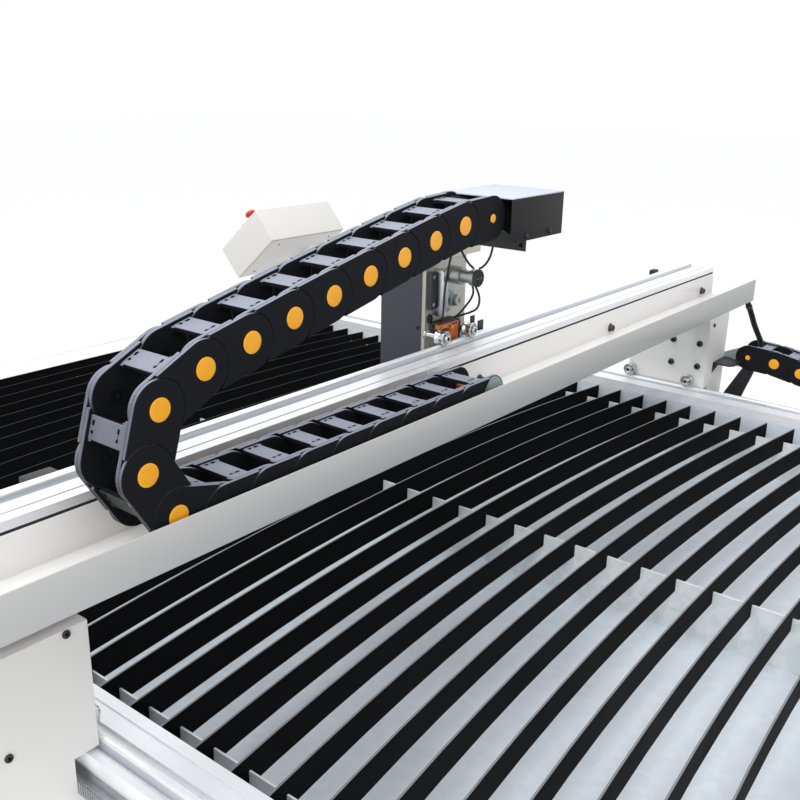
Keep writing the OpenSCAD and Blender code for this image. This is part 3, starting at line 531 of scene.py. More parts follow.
def tooth_row(corners: Sequence[Point], depth: Point, step: Point,
              count: int) -> Solid:
    """A row of equal rack teeth.

    Args:
        corners: the corners of the first tooth's end.
        depth: the way from one end of a tooth to its other end.
        step: the way from one tooth to the next.
        count: how many.

    Returns:
        The teeth.
    """
    part = bmesh.new()
    face = part.faces.new([part.verts.new(corner) for corner in corners])
    made = bmesh.ops.extrude_face_region(part, geom=[face])
    bmesh.ops.translate(part, vec=depth, verts=corners_of(made))
    bmesh.ops.recalc_face_normals(part, faces=part.faces[:])
    first = part.faces[:] + part.edges[:] + part.verts[:]
    for k in range(1, count):
        copy = bmesh.ops.duplicate(part, geom=first)
        bmesh.ops.translate(part, vec=Vector(step) * k, verts=corners_of(copy))
    return part


class Sketch:
    """A mesh being built from turned, cut and rounded solids, in millimetres."""

    def __init__(self, place: Matrix | None = None) -> None:
        """Starts empty at a place, with the first finish in hand."""
        self.bm = bmesh.new()
        self.place = place or Matrix.Identity(4)
        self.finish = 0

    def use(self, finish: int) -> "Sketch":
        """Picks the finish of what follows, by its place in the piece's list."""
        self.finish = finish
        return self

    def join(self, part: Solid) -> None:
        """Adds a part as it is, and frees it."""
        mesh = bpy.data.meshes.new("part")
        part.to_mesh(mesh)
        part.free()
        self.bm.from_mesh(mesh)
        bpy.data.meshes.remove(mesh)

    def take(self, part: Solid) -> None:
        """Adds a finished solid that lies in the sketch's current place."""
        bmesh.ops.recalc_face_normals(part, faces=part.faces[:])
        for face in part.faces:
            face.material_index = self.finish
        part.transform(self.place)
        self.join(part)

    def stamp(self, mesh: Mesh, place: Matrix) -> None:
        """Adds a copy of a mesh at a place."""
        part = bmesh.new()
        part.from_mesh(mesh)
        part.transform(place)
        self.join(part)

    def block(self, corner: Point, other: Point, bevel: float = 0.0, steps: int = 2) -> None:
        """A box between two opposite corners, with rounded edges.

        Args:
            corner: one of its corners.
            other: the opposite one.
            bevel: the edges' radius, 0 for sharp.
            steps: segments of the rounding.
        """
        a, b = Vector(corner), Vector(other)
        size = [abs(span) for span in b - a]
        part = bmesh.new()
        bmesh.ops.create_cube(part, size=1.0, matrix=Matrix.Translation((a + b) / 2)
                              @ Matrix.Diagonal((*size, 1.0)))
        if bevel:
            rounded(part, part.edges[:], bevel, steps)
        self.take(part)

    def turned(self, base: Point, axis: Point, profile: Sequence[Point],
               steps: int = 32, ring: bool = False) -> None:
        """A turned solid.

        Args:
            base: the point on its axis where the profile's length is 0.
            axis: the direction of the axis.
            profile: length and radius of each point, from radius 0 to radius 0.
            steps: segments round the axis.
            ring: whether the profile closes on itself, away from the axis.
        """
        part = bmesh.new()
        verts = [part.verts.new((radius, 0, along)) for along, radius in profile]
        for a, b in zip(verts, verts[1:]):
            part.edges.new((a, b))
        if ring:
            part.edges.new((verts[-1], verts[0]))
        bmesh.ops.spin(part, geom=part.verts[:] + part.edges[:], cent=(0, 0, 0),
                       axis=(0, 0, 1), angle=2 * math.pi, steps=steps, use_merge=True)
        bmesh.ops.remove_doubles(part, verts=part.verts[:], dist=1e-4)
        part.transform(upright(base, axis))
        self.take(part)

    def disc(self, base: Point, axis: Point, radius: float, height: float, steps: int = 20,
             start: float = 0.0) -> None:
        """A plain disc or washer.

        Args:
            base: where it sits.
            axis: the way it faces.
            radius: its radius.
            height: where it ends along the axis.
            steps: segments round the axis.
            start: where it starts along the axis.
        """
        self.turned(base, axis, [(start, 0), (start, radius), (height, radius), (height, 0)],
                    steps)

    def plate(self, outline: Outline, thickness: float, place: Matrix,
              bevel: float = 0.0) -> None:
        """A flat plate of an outline.

        Args:
            outline: the plate's shape.
            thickness: how far it rises from the outline's plane.
            place: where the outline's plane lies.
            bevel: the radius of its rims.
        """
        part = outline.closed()
        made = bmesh.ops.extrude_face_region(part, geom=part.faces[:])
        bmesh.ops.translate(part, vec=(0, 0, thickness), verts=corners_of(made))
        bmesh.ops.recalc_face_normals(part, faces=part.faces[:])
        if bevel:
            rounded(part, level_edges(part), bevel)
        part.transform(place)
        self.take(part)

    def hexagon(self, base: Point, axis: Point, flats: float, height: float,
                chamfer: float = 0.8) -> None:
        """A hexagon nut or head with chamfered corners."""
        part, radius = bmesh.new(), flats / math.sqrt(3)
        bmesh.ops.create_cone(part, cap_ends=True, segments=6, radius1=radius, radius2=radius,
                              depth=height, matrix=Matrix.Translation((0, 0, height / 2)))
        rounded(part, level_edges(part), chamfer)
        part.transform(upright(base, axis))
        self.take(part)

    def socket_head(self, base: Point, axis: Point, radius: float, height: float,
                    bore: float = 0.5, dark: int | None = None) -> None:
        """A cylinder head with a round-edged rim and a hexagon socket.

        Args:
            base: where the head sits.
            axis: the way it faces.
            radius: its radius.
            height: its height.
            bore: the socket's width as a share of the radius.
            dark: the finish of the painted shade on the socket's floor, or None.
        """
        r, h, hole = radius, height, radius * bore
        self.turned(base, axis, [(0, 0), (0, r), (h - 0.18 * r, r), (h - 0.05 * r, r * 0.95),
                                 (h, r * 0.84), (h, hole), (h * 0.5, hole), (h * 0.5, 0)], 20)
        # Painted shade: a dark disc on the socket's floor.
        if dark is not None:
            kept, self.finish = self.finish, dark
            out = Vector(base) + Vector(axis).normalized() * (h * 0.5)
            self.disc(out, axis, hole, 0.06 * h, 6)
            self.finish = kept

    def pan_head(self, base: Point, axis: Point, radius: float) -> None:
        """A low screw head with a chamfered rim."""
        r = radius
        self.turned(base, axis, [(-0.2, 0), (-0.2, r), (0.9, r), (1.1, r - 0.4), (1.1, 0)], 16)

    def mesh(self, name: str) -> Mesh:
        """Ends the sketch and returns its mesh, still in millimetres."""
        mesh = bpy.data.meshes.new(name)
        self.bm.to_mesh(mesh)
        self.bm.free()
        return mesh


@dataclass
class Shop:
    """Places finished pieces in the frame."""

    nodes: dict[str, bpy.types.Object]
    origin: Vector
    sharp: float = 35.0
    count: int = 0
    triangles: int = 0

    def at(self, x: float, y: float, z: float) -> Vector:
        """A point of the machine's own axes, in the frame's metres."""
        return self.origin + Vector((x, y, z)) * MM

    def fit(self, sketch: Sketch, name: str, body: str, slot: str,
            finishes: Sequence[Finish], replaces: Iterable[str] = (),
            blend: tuple[str, str, Point, Point] | None = None) -> None:
        """Makes a piece of a sketch and hands it to the frame.

        Args:
            sketch: its solids.
            name: the piece's name.
            body: the body it rides on.
            slot: the record's material slot, not used.
            finishes: its finishes, in the order the sketch numbers them.
            replaces: the frame's nodes that it stands for.
            blend: two bodies and two points of the machine's axes for a run between two bodies;
                when it is given the piece is left without a body, and nothing here makes it
                stretch.
        """
        mesh = sketch.mesh(name)
        mesh.transform(Matrix.Translation(self.origin) @ Matrix.Scale(MM, 4))
        mesh.shade_smooth()
        mesh.set_sharp_from_angle(angle=math.radians(self.sharp))
        piece = placed(name, mesh)
        for finish in finishes:
            mesh.materials.append(finish.build())
        if blend:
            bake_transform(piece)
        else:
            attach(piece, body)
        if replaces:
            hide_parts(*replaces)
        self.count += 1
        self.triangles += sum(len(p.vertices) - 2 for p in mesh.polygons)
        log.info("fitted %s to %s", name, body)

    def dress(self, finish: Finish, *nodes: str) -> None:
        """Gives frame nodes their finish through their material slots."""
        for node in nodes:
            piece = self.nodes[node]
            if not piece.material_slots:
                piece.data.materials.append(finish.build())
            for entry in piece.material_slots:
                entry.material = finish.build()


class Side(Enum):
    """The two sides of the bed, by the sign of Y."""

    RIGHT = 1
    LEFT = -1

    def point(self, x: float, y: float, z: float) -> Vector:
        """A point given for the right side, on this side."""
        return Vector((x, y * self.value, z))

    @property
    def outward(self) -> Vector:
        """The way from the bed's middle to this side."""
        return Vector((0, self.value, 0))


# ---- bed and rails

@dataclass
class Bed:
    """Frame, pan, slats and the trough of the side chain."""

    shop: Shop
    leg_x: tuple[float, ...] = (-1560, 0, 1560)
    leg_y: float = 902
    plate_bolt: float = 54
    pan_x: float = 1600
    bearer_y: float = 807
    ledge_x: Range = (1512, 1639)

    def build(self) -> None:
        """Dresses the frame's solids and fits bolts, angles and ledges."""
        for finish, node in ((Paints.FRAME, "bed_frame"), (Paints.FOOT, "levelling_feet"),
                             (Paints.PAN, "slag_pan"), (Paints.BEARER, "bearers"),
                             (Paints.SLAT, "slats"), (Paints.ZINC, "side_chain_trough")):
            self.shop.dress(finish, node)
        self.leg_bolts()
        self.bearer_angles()
        self.ledges()

    def leg_bolts(self) -> None:
        """Four hexagon heads on each leg plate."""
        sketch, up, step = Sketch(), (0, 0, 1), self.plate_bolt
        for x in self.leg_x:
            for side in Side:
                for dx in (-step, step):
                    for dy in (-step, step):
                        y = side.value * self.leg_y + dy
                        sketch.disc((x + dx, y, 70), up, 9, 1.4)
                        sketch.hexagon((x + dx, y, 71.2), up, 13, 6)
        self.shop.fit(sketch, "leg_plate_bolts", "bed", "foot_steel", [Paints.FOOT])

    def bearer_angles(self) -> None:
        """Screwed angles that hold the bearers' ends to the pan's end walls."""
        sketch = Sketch()
        for end in (-1, 1):
            wall = end * self.pan_x
            for y in (-self.bearer_y, 0, self.bearer_y):
                for dy in (-22, 22):
                    sketch.socket_head((wall - end * 0.2, y + dy, 690), (-end, 0, 0), 6, 4)
                sketch.block((wall, y - 30, 668), (wall - end * 3, y + 30, 712), 0.8)
        self.shop.fit(sketch, "bearer_end_angles", "bed", "galvanised", [Paints.BEARER])

    def ledges(self) -> None:
        """Folded sheets that cap the slats' ends at both ends of the bed."""
        sketch, (near, far) = Sketch(), self.ledge_x
        for end in (-1, 1):
            sketch.block((end * near, -846, 761), (end * far, 846, 763), 0.5)
        self.shop.fit(sketch, "bed_end_ledges", "bed", "white_paint", [Paints.FRAME])


@dataclass
class Rails:
    """Rail extrusions, their ground rods and toothed racks."""

    shop: Shop
    half: float = 1640
    rack_y: float = 942
    rack_z: Range = (730, 750)
    rack_w: float = 20
    tooth_h: float = 3.3
    bolt_step: float = 200
    cap_y: Range = (861.5, 946.5)

    def build(self) -> None:
        """Dresses the rails and fits the racks and the end caps."""
        self.shop.dress(Paints.PROFILE, "rail_profiles")
        self.shop.dress(Paints.ROD, "rail_rods")
        self.racks()
        self.end_caps()

    def racks(self) -> None:
        """Toothed bars along both side tubes, teeth outwards, with their bolt holes as discs of
        painted shade.
        """
        sketch, (low, high) = Sketch(), self.rack_z
        root = self.rack_y + self.rack_w - self.tooth_h
        for side in Side:
            sketch.block(side.point(-self.half, self.rack_y, low),
                         side.point(self.half, root, high), 0.6)
            sketch.take(self.teeth(side))
            for k in range(-8, 9):
                # Painted shade: a dark disc for each bolt hole.
                sketch.use(1).disc(side.point(k * self.bolt_step, root, 736), side.outward,
                                   4.2, 0.1, 12, 0.02)
                sketch.use(0)
        self.shop.fit(sketch, "rail_rack_bars", "bed", "bright_metal",
                      [Paints.MACHINED, Paints.RECESS_SHADE], ["rail_racks"])

    def teeth(self, side: Side) -> Solid:
        """One rack's row of teeth."""
        tip = self.rack_y + self.rack_w
        root, low = tip - self.tooth_h - 0.05, self.rack_z[0] + 0.6
        base, top = RACK_TOOTH * 0.39, RACK_TOOTH * 0.17
        count = int(2 * self.half / RACK_TOOTH) - 1
        start = -count * RACK_TOOTH / 2
        corners = [side.point(start + x, y, low)
                   for x, y in ((-base, root), (-top, tip), (top, tip), (base, root))]
        return tooth_row(corners, (0, 0, self.rack_z[1] - low - 0.6), (RACK_TOOTH, 0, 0), count)

    def end_caps(self) -> None:
        """Thin caps on the ends of the rail extrusions."""
        sketch, (inner, outer) = Sketch(), self.cap_y
        for side in Side:
            for end in (-1, 1):
                x = end * self.half
                sketch.block(side.point(x, inner, 763), side.point(x - end * 1.2, outer, 773),
                             0.4)
        self.shop.fit(sketch, "rail_end_caps", "bed", "extrusion", [Paints.BLACK])


# ---- cable chains

@dataclass(frozen=True)
class LinkSize:
    """Sizes of one chain link, shared by both chains."""

    pitch: float = 70
    radius: float = 33
    width: float = 83
    plate: float = 5.3
    gap: float = 0.4
    room: float = 33.6
    turn: float = 48.5
    notch: float = 3
    bar_u: Range = (21.2, 48.6)
    bar_t: float = 6
    cap_r: float = 13.3
    small_r: float = 6.5
    cap_t: float = 0.9

    @property
    def side(self) -> float:
        """Thickness of both plates of one side."""
        return 2 * self.plate + self.gap


class LinkMaker:
    """Draws one link and its caps once, to be stamped along a chain."""

    def __init__(self, size: LinkSize) -> None:
        """Keeps the sizes."""
        self.size = size

    def head(self) -> Outline:
        """Outline of a side plate round its pin, cut clear of the plate before it."""
        s = self.size
        turn = math.radians(s.turn)
        low = (s.room * math.sin(turn), -s.room * math.cos(turn))
        drop = (s.radius + low[1]) / math.sin(turn)
        lip = s.radius - s.notch
        swing = math.degrees(math.asin(lip / s.room)) + 90 - s.turn
        tip = math.sqrt(s.room ** 2 - lip ** 2)
        shape = Outline(s.pitch, s.radius).arc(s.pitch, 0, -180, 22)
        shape.to((low[0] - drop * math.cos(turn), -s.radius), low)
        shape.arc(0, 0, swing, 12)
        shape.to((tip + 0.6, s.radius))
        return shape

    def plates(self, sketch: Sketch, outer: bool) -> None:
        """Both inner or both outer plates of a link.

        Args:
            sketch: the link's sketch.
            outer: whether they are the outer ones, round the pin at the far end.
        """
        s = self.size
        for m in (0, 1):
            if outer:
                base = Matrix.Translation((0, 0, 0 if m == 0 else s.width - s.plate))
            else:
                z = s.plate + s.gap if m == 0 else s.width - s.side
                base = Matrix.Translation((s.pitch, 0, z + s.plate)) @ Matrix.Rotation(
                    math.pi, 4, "Y")
            sketch.plate(self.head(), s.plate, base, 0.7)

    def link(self) -> Mesh:
        """The link's mesh: plates with raised rings, waists and slotted crossbars."""
        s, sketch = self.size, Sketch()
        self.plates(sketch, True)
        self.plates(sketch, False)
        for z in (s.plate - 0.1, s.width - s.plate - s.gap - 0.1):
            sketch.block((s.room + 1.5, -s.radius + 0.8, z),
                         (s.pitch - s.room - 1.5, s.radius - 0.8, z + s.gap + 0.2))
        self.rims(sketch)
        for m, up in ((0, -1), (1, 1)):
            base = (s.pitch, 0, m * s.width)
            sketch.turned(base, (0, 0, up), [(-0.3, 24.1), (0.1, 24.2), (0.26, 24.6), (0.1, 25.0),
                                             (-0.3, 25.1)], 36, ring=True)
            inner = (0, 0, s.side if m == 0 else s.width - s.side)
            sketch.turned(inner, (0, 0, -up), [(-0.3, 9.2), (0.6, 9.6), (0.6, 10.6),
                                               (-0.3, 11.2)], 28, ring=True)
        self.crossbar(sketch, s.radius - 5, 1, ((37.6, 5.4), (28.4, 3.4)))
        self.crossbar(sketch, 3 - s.radius, -1, ((28.0, 5.4), (38.6, 3.4)))
        return sketch.mesh("link")

    def rims(self, sketch: Sketch) -> None:
        """Gives the plates' outer rims the lighter finish with its painted highlight, and leaves
        the cut-outs in the dark side finish.
        """
        for face in sketch.bm.faces:
            middle = face.calc_center_median()
            side = min(middle.z, self.size.width - middle.z)
            if abs(face.normal.z) > (0.4 if side < 1 else 0.95) or middle.xy.length < 1:
                continue
            hollow = any(29 < (middle.xy - pin).length < self.size.room + 1.2
                         and face.normal.xy.dot(middle.xy - pin) < 0
                         for pin in (Vector((0, 0)), Vector((self.size.pitch, 0))))
            if not hollow and (abs(middle.y) > 25 or not 30 < middle.x < 40):
                # Painted highlight: these rim faces take the lighter finish.
                face.material_index = 1

    def crossbar(self, sketch: Sketch, top: float, sign: int,
                 slots: Sequence[Range]) -> None:
        """One snapped-in crossbar with its clips, and latch slots drawn as painted shade.

        Args:
            sketch: the link's sketch.
            top: height of its outer face in the link.
            sign: the way that face looks.
            slots: start and length of the slots along the link, at both ends of the bar.
        """
        s = self.size
        low, high = s.side + 0.02, s.width - s.side - 0.02
        u0, u1 = s.bar_u
        inside = top - sign * s.bar_t
        sketch.use(2).block((u0, top, low), (u1, inside, high), 1.0)
        for w0, w1, u in ((low, low + 4.5, u0 - 2.2), (high - 9.5, high, u1 - 1)):
            sketch.block((u, top, w0), (u + 3.2, inside, w1), 0.6, 1)
        for w0, w1 in ((low, low + 3.4), (high - 12.0, high)):
            sketch.block((u0 + 0.9, top - 0.6 * sign, w0), (u1 - 0.9, top + 0.45 * sign, w1),
                         0.4, 1)
        a, b = sorted((top - 0.5 * sign, top + 0.55 * sign))
        # Painted shade: the latch slots are dark blocks.
        for u, span in slots:
            for w in (low + 2.9, high - 14.4):
                sketch.use(3).block((u, a, w), (u + span, b, w + 3.6))
        # Painted shade: a thin dark line joins the slots.
        line = sorted((slots[0][0], slots[1][0] + slots[1][1]))
        sketch.block((line[0], a, high - 12.5), (line[1], b - 0.06, high - 12.0))
        # Only the bar's outward faces keep the finish with the painted highlight; its sides take
        # the plain side finish.
        for face in sketch.bm.faces:
            if face.material_index == 2 and abs(face.normal.y) < 0.6:
                face.material_index = 0
        sketch.use(0)

    def cap(self, radius: float, inner: int) -> Mesh:
        """Both caps of one pin, with their hollow stems, at the pin's own zero.

        Args:
            radius: the caps' radius.
            inner: the finish of the painted shade on the stems' ends; the next finish is the pin
                ends' yellow in painted shade.

        Returns:
            The caps' mesh.
        """
        s, sketch = self.size, Sketch()
        for m, up in ((0, -1), (1, 1)):
            base = (0, 0, m * s.width)
            sketch.turned(base, (0, 0, up), [(-0.2, 0), (-0.2, radius), (0.45, radius),
                                             (0.75, radius - 0.35), (0.86, radius - 0.9),
                                             (s.cap_t, radius * 0.5), (s.cap_t, 0)], 36)
            end = (0, 0, s.side if m == 0 else s.width - s.side)
            # Painted shade: a dark stem whose end shows as a ring.
            sketch.use(inner).turned(end, (0, 0, -up), [(-s.side + 0.4, 0), (-s.side + 0.4, 6.6),
                                                        (-0.2, 6.6), (0.1, 6.2), (0.1, 3.8),
                                                        (-1, 3.8), (-1, 0)], 20)
            # Painted shade: the pin's end in shaded brown.
            sketch.use(inner + 1).turned(end, (0, 0, -up), [(-1.2, 0), (-1.2, 3.2), (-0.4, 3.2),
                                                            (-0.1, 2.6), (-0.1, 0)], 16)
            sketch.use(0)
        return sketch.mesh("cap")


@dataclass
class CableChain:
    """A cable chain that lies in a tray, turns over and runs back above itself."""

    shop: Shop
    name: str
    plane: Matrix
    start: Range
    turns: tuple[float, ...]
    counts: tuple[int, int, int]
    bodies: tuple[str, str, str]
    nodes: tuple[tuple[str, ...], ...]
    size: LinkSize = field(default_factory=LinkSize)
    skip: int = 0

    @property
    def headings(self) -> list[float]:
        """Each link's direction in the chain's own plane, in degrees."""
        return [180.0] * self.counts[0] + list(self.turns)

    def pins(self) -> list[Vector]:
        """Every pin's place in the chain's own plane, from the fixed end."""
        at, out = Vector((*self.start, 0)), []
        for turn in self.headings:
            out.append(at.copy())
            at = at + self.size.pitch * Vector((math.cos(math.radians(turn)),
                                                math.sin(math.radians(turn)), 0))
        return out + [at]

    def build(self) -> None:
        """Stamps the links and caps of the lower run, the bend and the upper run."""
        maker = LinkMaker(self.size)
        link, cap = maker.link(), maker.cap(self.size.cap_r, 1)
        small = maker.cap(self.size.small_r, 1)
        pins = self.pins()
        middle = self.plane @ pins[self.counts[0] + self.counts[1] // 2]
        near = self.plane @ pins[0]
        end = self.plane @ pins[-1]
        first = 0
        for run, (part, count) in enumerate(zip(RUNS, self.counts)):
            links, caps = Sketch(), Sketch()
            for i in range(max(first, self.skip), first + count):
                place = self.plane @ Matrix.Translation(pins[i]) @ Matrix.Rotation(
                    math.radians(self.headings[i]), 4, "Z")
                links.stamp(link, place)
                last = run == 2 and i == first + count - 1
                caps.stamp(small if last else cap,
                           place @ Matrix.Translation((self.size.pitch, 0, 0)))
            if run == 0:
                caps.stamp(small, self.plane @ Matrix.Translation(pins[self.skip])
                           @ Matrix.Rotation(math.pi, 4, "Z"))
            if self.plane.determinant() < 0:
                for sketch in (links, caps):
                    bmesh.ops.reverse_faces(sketch.bm, faces=sketch.bm.faces[:])
            fixed, moving = self.bodies[0], self.bodies[2]
            blend = {0: (fixed, self.bodies[1], near, middle),
                     2: (fixed, moving, 2 * middle - end, end)}.get(run)
            name = f"{self.name}_{part}"
            self.shop.fit(links, name + "_links", self.bodies[run], "chain_plastic",
                          [Paints.LINK, Paints.RIM, Paints.BAR, Paints.RECESS_SHADE],
                          self.nodes[run][:1], blend)
            self.shop.fit(caps, name + "_caps", self.bodies[run], "cap_plastic",
                          [Paints.CAP, Paints.RECESS_SHADE, Paints.PIN_END_SHADE], self.nodes[run][1:],
                          blend)
            first += count


# ---- gantry

@dataclass
class Gantry:
    """Beam, end boxes, tray and everything that travels with them."""

    shop: Shop
    flange_screws: tuple[Range, ...] = (
        (850, 1063.6), (358.6, 1062), (-133, 1062), (-624.6, 1062), (-1116, 1062))
    box_bolts: tuple[Range, ...] = ((-98, 907), (-26, 907), (-98, 845), (-26, 845))
    box_y: Range = (932, 1062)
    box_front: float = -4
    roller_x: Range = (-208, -44)
    rod_y: float = 920
    roller_z: float = 805.3
    roller_d: float = 32
    roller_w: float = 17
    roller_bore: float = 5.06
    pinion_r: float = 15
    pinion_w: float = 20
    pinion_z: float = 730
    motor: tuple[float, float, float] = (-111, 977.3, 796)
    beam_x: Range = (-78, -10)
    beam_y: Range = (-1150, 932)
    beam_z: Range = (970, 1091)
    crown_h: float = 22
    tray_x: Range = (-10, 105)
    tray_y: Range = (-1360, 905)
    tray_z: Range = (1047, 1100)
    rack_y: Range = (-1000, 860)

    def build(self) -> None:
        """Dresses the end boxes and the rod and fits every piece of the gantry."""
        self.shop.dress(Paints.WHITE, "end_box_right", "end_box_left")
        self.shop.dress(Paints.ROD, "beam_rod")
        for step in (self.beam, self.crown, self.tray, self.fork, self.stops, self.screws,
                     self.rack, self.axles, self.rollers, self.pinions, self.motors,
                     self.chain_bracket, self.cable):
            step()

    def beam(self) -> None:
        """Round-cornered box section of the beam, with its end plate."""
        (back, front), (near, far), (low, high) = self.beam_x, self.beam_y, self.beam_z
        sketch = Sketch()
        sketch.block((back, near + 2, low), (front, far, high - 0.2), 4, 4)
        sketch.block((back + 2, near, low + 2), (front - 2, near + 3, high - 2), 0.8)
        self.shop.fit(sketch, "beam_box_section", "gantry", "white_paint", [Paints.WHITE],
                      ["beam_tube"])

    def crown(self) -> None:
        """Extrusion on the beam: grooved front and top, and a seat for the rod behind, with
        strips of painted shade in the front slot and the top groove.
        """
        (near, far), high, front = self.beam_y, self.beam_z[1], self.beam_x[1]
        foot = -self.crown_h
        seat = Outline(0, 0).to((0, -11.5), (4, -11.5), (4, -15.8), (0, -15.8), (0, foot),
                                (88, foot), (88, -9.5), (74, -9.5), (74, -5), (69.96, -5))
        seat.arc(60, -3.3, -160.7, 16)
        seat.to((42, -5), (42, 0), (19.5, 0), (19.5, -2), (16.5, -2), (16.5, 0))
        sketch = Sketch()
        sketch.plate(seat, far - 10 - near,
                     turned_to((front, near, high + self.crown_h), (-1, 0, 0), (0, 0, 1)))
        # Painted shade: a dark strip in the front slot.
        sketch.use(1).block((front - 1.2, near + 1, high + 6.3),
                            (front - 0.5, far - 11, high + 10.4))
        # Painted shade: a grey strip in the top groove.
        sketch.use(2).block((front - 19.4, near + 1, high + 20.1),
                            (front - 16.6, far - 11, high + 21))
        self.shop.fit(sketch, "beam_crown_extrusion", "gantry", "extrusion",
                      [Paints.BEAM_PROFILE, Paints.SLOT_SHADE, Paints.SEAM_SHADE], ["beam_profile"])

    def tray(self) -> None:
        """Folded tray of the chain: flange on the beam, floor and outer lip, the lip in painted
        shade.
        """
        (back, front), (near, far), (low, high) = self.tray_x, self.tray_y, self.tray_z
        sketch = Sketch()
        sketch.block((back, near, low), (front - 1.5, far, low + 2), 0.4)
        sketch.block((back, near, low + 0.5), (back + 2, far, high - 2), 0.4)
        # Painted shade: the outer lip takes a greyer copy of the white.
        sketch.use(1).block((front - 2, near, low), (front, far, high), 0.6)
        self.shop.fit(sketch, "chain_tray_sheet", "gantry", "white_paint",
                      [Paints.WHITE, Paints.LIP_SHADE], ["chain_tray"])

    def fork(self) -> None:
        """Galvanised fork that holds the chain's fixed end, with the last pin's clip."""
        y, z = BEAM_CHAIN_START[0] - LinkSize.pitch, BEAM_CHAIN_START[1]
        floor = self.tray_z[0] + 2
        sketch = Sketch()
        for x in (19.3, 88.7):
            lug = Outline(y - 31, z).arc(y, z, -150, 24)
            lug.to((y + 62, floor + 10), (y + 72, floor), (y - 31, floor))
            sketch.plate(lug, 3, turned_to((x, 0, 0), (0, 1, 0), (0, 0, 1)), 0.4)
        sketch.block((22.3, y + 38, floor), (88.7, y + 72, floor + 3), 0.4)
        sketch.use(1).turned((22.2, y, z), (1, 0, 0), [(0, 0), (0, 6.5), (3, 6.5), (3, 4),
                                                      (9, 4), (9, 0)], 20)
        for w in (-5, 2):
            sketch.block((25, y - 7, z + w), (34, y + 7, z + w + 3), 0.5)
        self.shop.fit(sketch, "chain_end_fork", "gantry", "galvanised",
                      [Paints.ZINC, Paints.SWITCH], ["chain_anchor"])

    def stops(self) -> None:
        """Rubber blocks behind the beam that end the carriage's travel."""
        sketch = Sketch()
        sketch.block((-130, -926, 1086), (-99, -884, 1102), 1.5)
        sketch.block((-112, 764, 1093), (-98, 788, 1114.5), 1.5)
        self.shop.fit(sketch, "beam_stop_blocks", "gantry", "black_plastic",
                      [Paints.MOTOR], ["beam_stops"])

    def screws(self) -> None:
        """Black socket screws of the tray flange and the end boxes."""
        sketch, front, (inner, outer) = Sketch(), (1, 0, 0), self.box_y
        for y, z in self.flange_screws:
            sketch.disc((self.tray_x[0] + 2, y, z), front, 9, 1.2)
            sketch.socket_head((self.tray_x[0] + 3, y, z), front, 6.6, 7.5, dark=1)
        for side in Side:
            for x, z in self.box_bolts:
                at, inward = side.point(x, inner, z), -side.outward
                sketch.disc(at, inward, 8.4, 1.0)
                sketch.socket_head(at + inward * 0.9, inward, 6.8, 6.6, dark=1)
            for y, z in ((960, 955), (1044, 838)):
                sketch.socket_head(side.point(self.box_front, y, z), front, 5.2, 2.6, dark=1)
            for x in (-190, -32):
                for z in (812, 948):
                    sketch.socket_head(side.point(x, outer, z), side.outward, 5.2, 2.6, dark=1)
        self.shop.fit(sketch, "gantry_screws", "gantry", "dark_metal",
                      [Paints.PLASTIC, Paints.RECESS_SHADE])

    def rack(self) -> None:
        """Toothed bar under the beam's overhang, teeth down."""
        sketch, (near, far), (back, front), root = Sketch(), self.rack_y, (-98, -78), 1069.4
        sketch.block((back, near, root), (front, far, root + 16.6), 0.6)
        corners = [(back + 0.6, near + 2 + y, z) for y, z in (
            (-1.84, root + 0.1), (-0.8, 1066), (0.8, 1066), (1.84, root + 0.1))]
        count = int((far - near - 4) / RACK_TOOTH)
        sketch.take(tooth_row(corners, (18.8, 0, 0), (0, RACK_TOOTH, 0), count))
        self.shop.fit(sketch, "beam_rack_bar", "gantry", "bright_metal", [Paints.MACHINED],
                      ["beam_rack"])

    def axles(self) -> None:
        """Studs, eccentric nuts, washers and socket heads of the four rollers."""
        sketch = Sketch()
        for side in Side:
            inward = -side.outward
            for x in self.roller_x:
                front = side.point(x, self.rod_y - 8.8, self.roller_z)
                sketch.turned(front, inward, [(-22, 0), (-22, 5), (0, 5), (0, 9.4), (1.6, 9.4),
                                              (1.6, 0)], 28)
                sketch.socket_head(front + inward * 1.5, inward, 7.6, 4.6, 0.52, dark=1)
                sketch.hexagon(side.point(x, self.box_y[0], self.roller_z), inward, 17, 2.9, 0.5)
        self.shop.fit(sketch, "gantry_roller_studs", "gantry", "bright_metal",
                      [Paints.NICKEL, Paints.RECESS_SHADE], ["gantry_axles"])

    def rollers(self) -> None:
        """The four grooved rollers."""
        for side in Side:
            for x, end in zip(self.roller_x, ("rear", "front")):
                name, sketch = f"roller_{end}_{side.name.lower()}", Sketch()
                roller_ring(sketch, side.point(x, self.rod_y, self.roller_z), -side.outward,
                            self.roller_d, self.roller_w, self.roller_bore, 1.7)
                self.shop.fit(sketch, "grooved_" + name, name, "bright_steel",
                              [Paints.NICKEL, Paints.RECESS_SHADE], ["gantry_" + name])

    def pinions(self) -> None:
        """Toothed pinions under the end boxes."""
        for side in Side:
            name, sketch = side.name.lower(), Sketch()
            gear(sketch, side.point(*self.motor[:2], self.pinion_z), (0, 0, 1), self.pinion_r,
                 self.pinion_w, self.roller_bore)
            self.shop.fit(sketch, f"toothed_pinion_{name}", f"pinion_{name}", "bright_metal",
                          [Paints.MACHINED], [f"drive_pinion_{name}"])

    def motors(self) -> None:
        """Stepper motors that stand inside the end boxes, with their shafts."""
        sketch = Sketch()
        for side in Side:
            stepper(sketch, side.point(*self.motor), (0, 0, 1), 60, 100, 20, 5, 66)
        self.shop.fit(sketch, "gantry_drive_motors", "gantry", "dark_metal",
                      [Paints.MOTOR, Paints.MACHINED, Paints.RECESS_SHADE], ["drive_motors"])

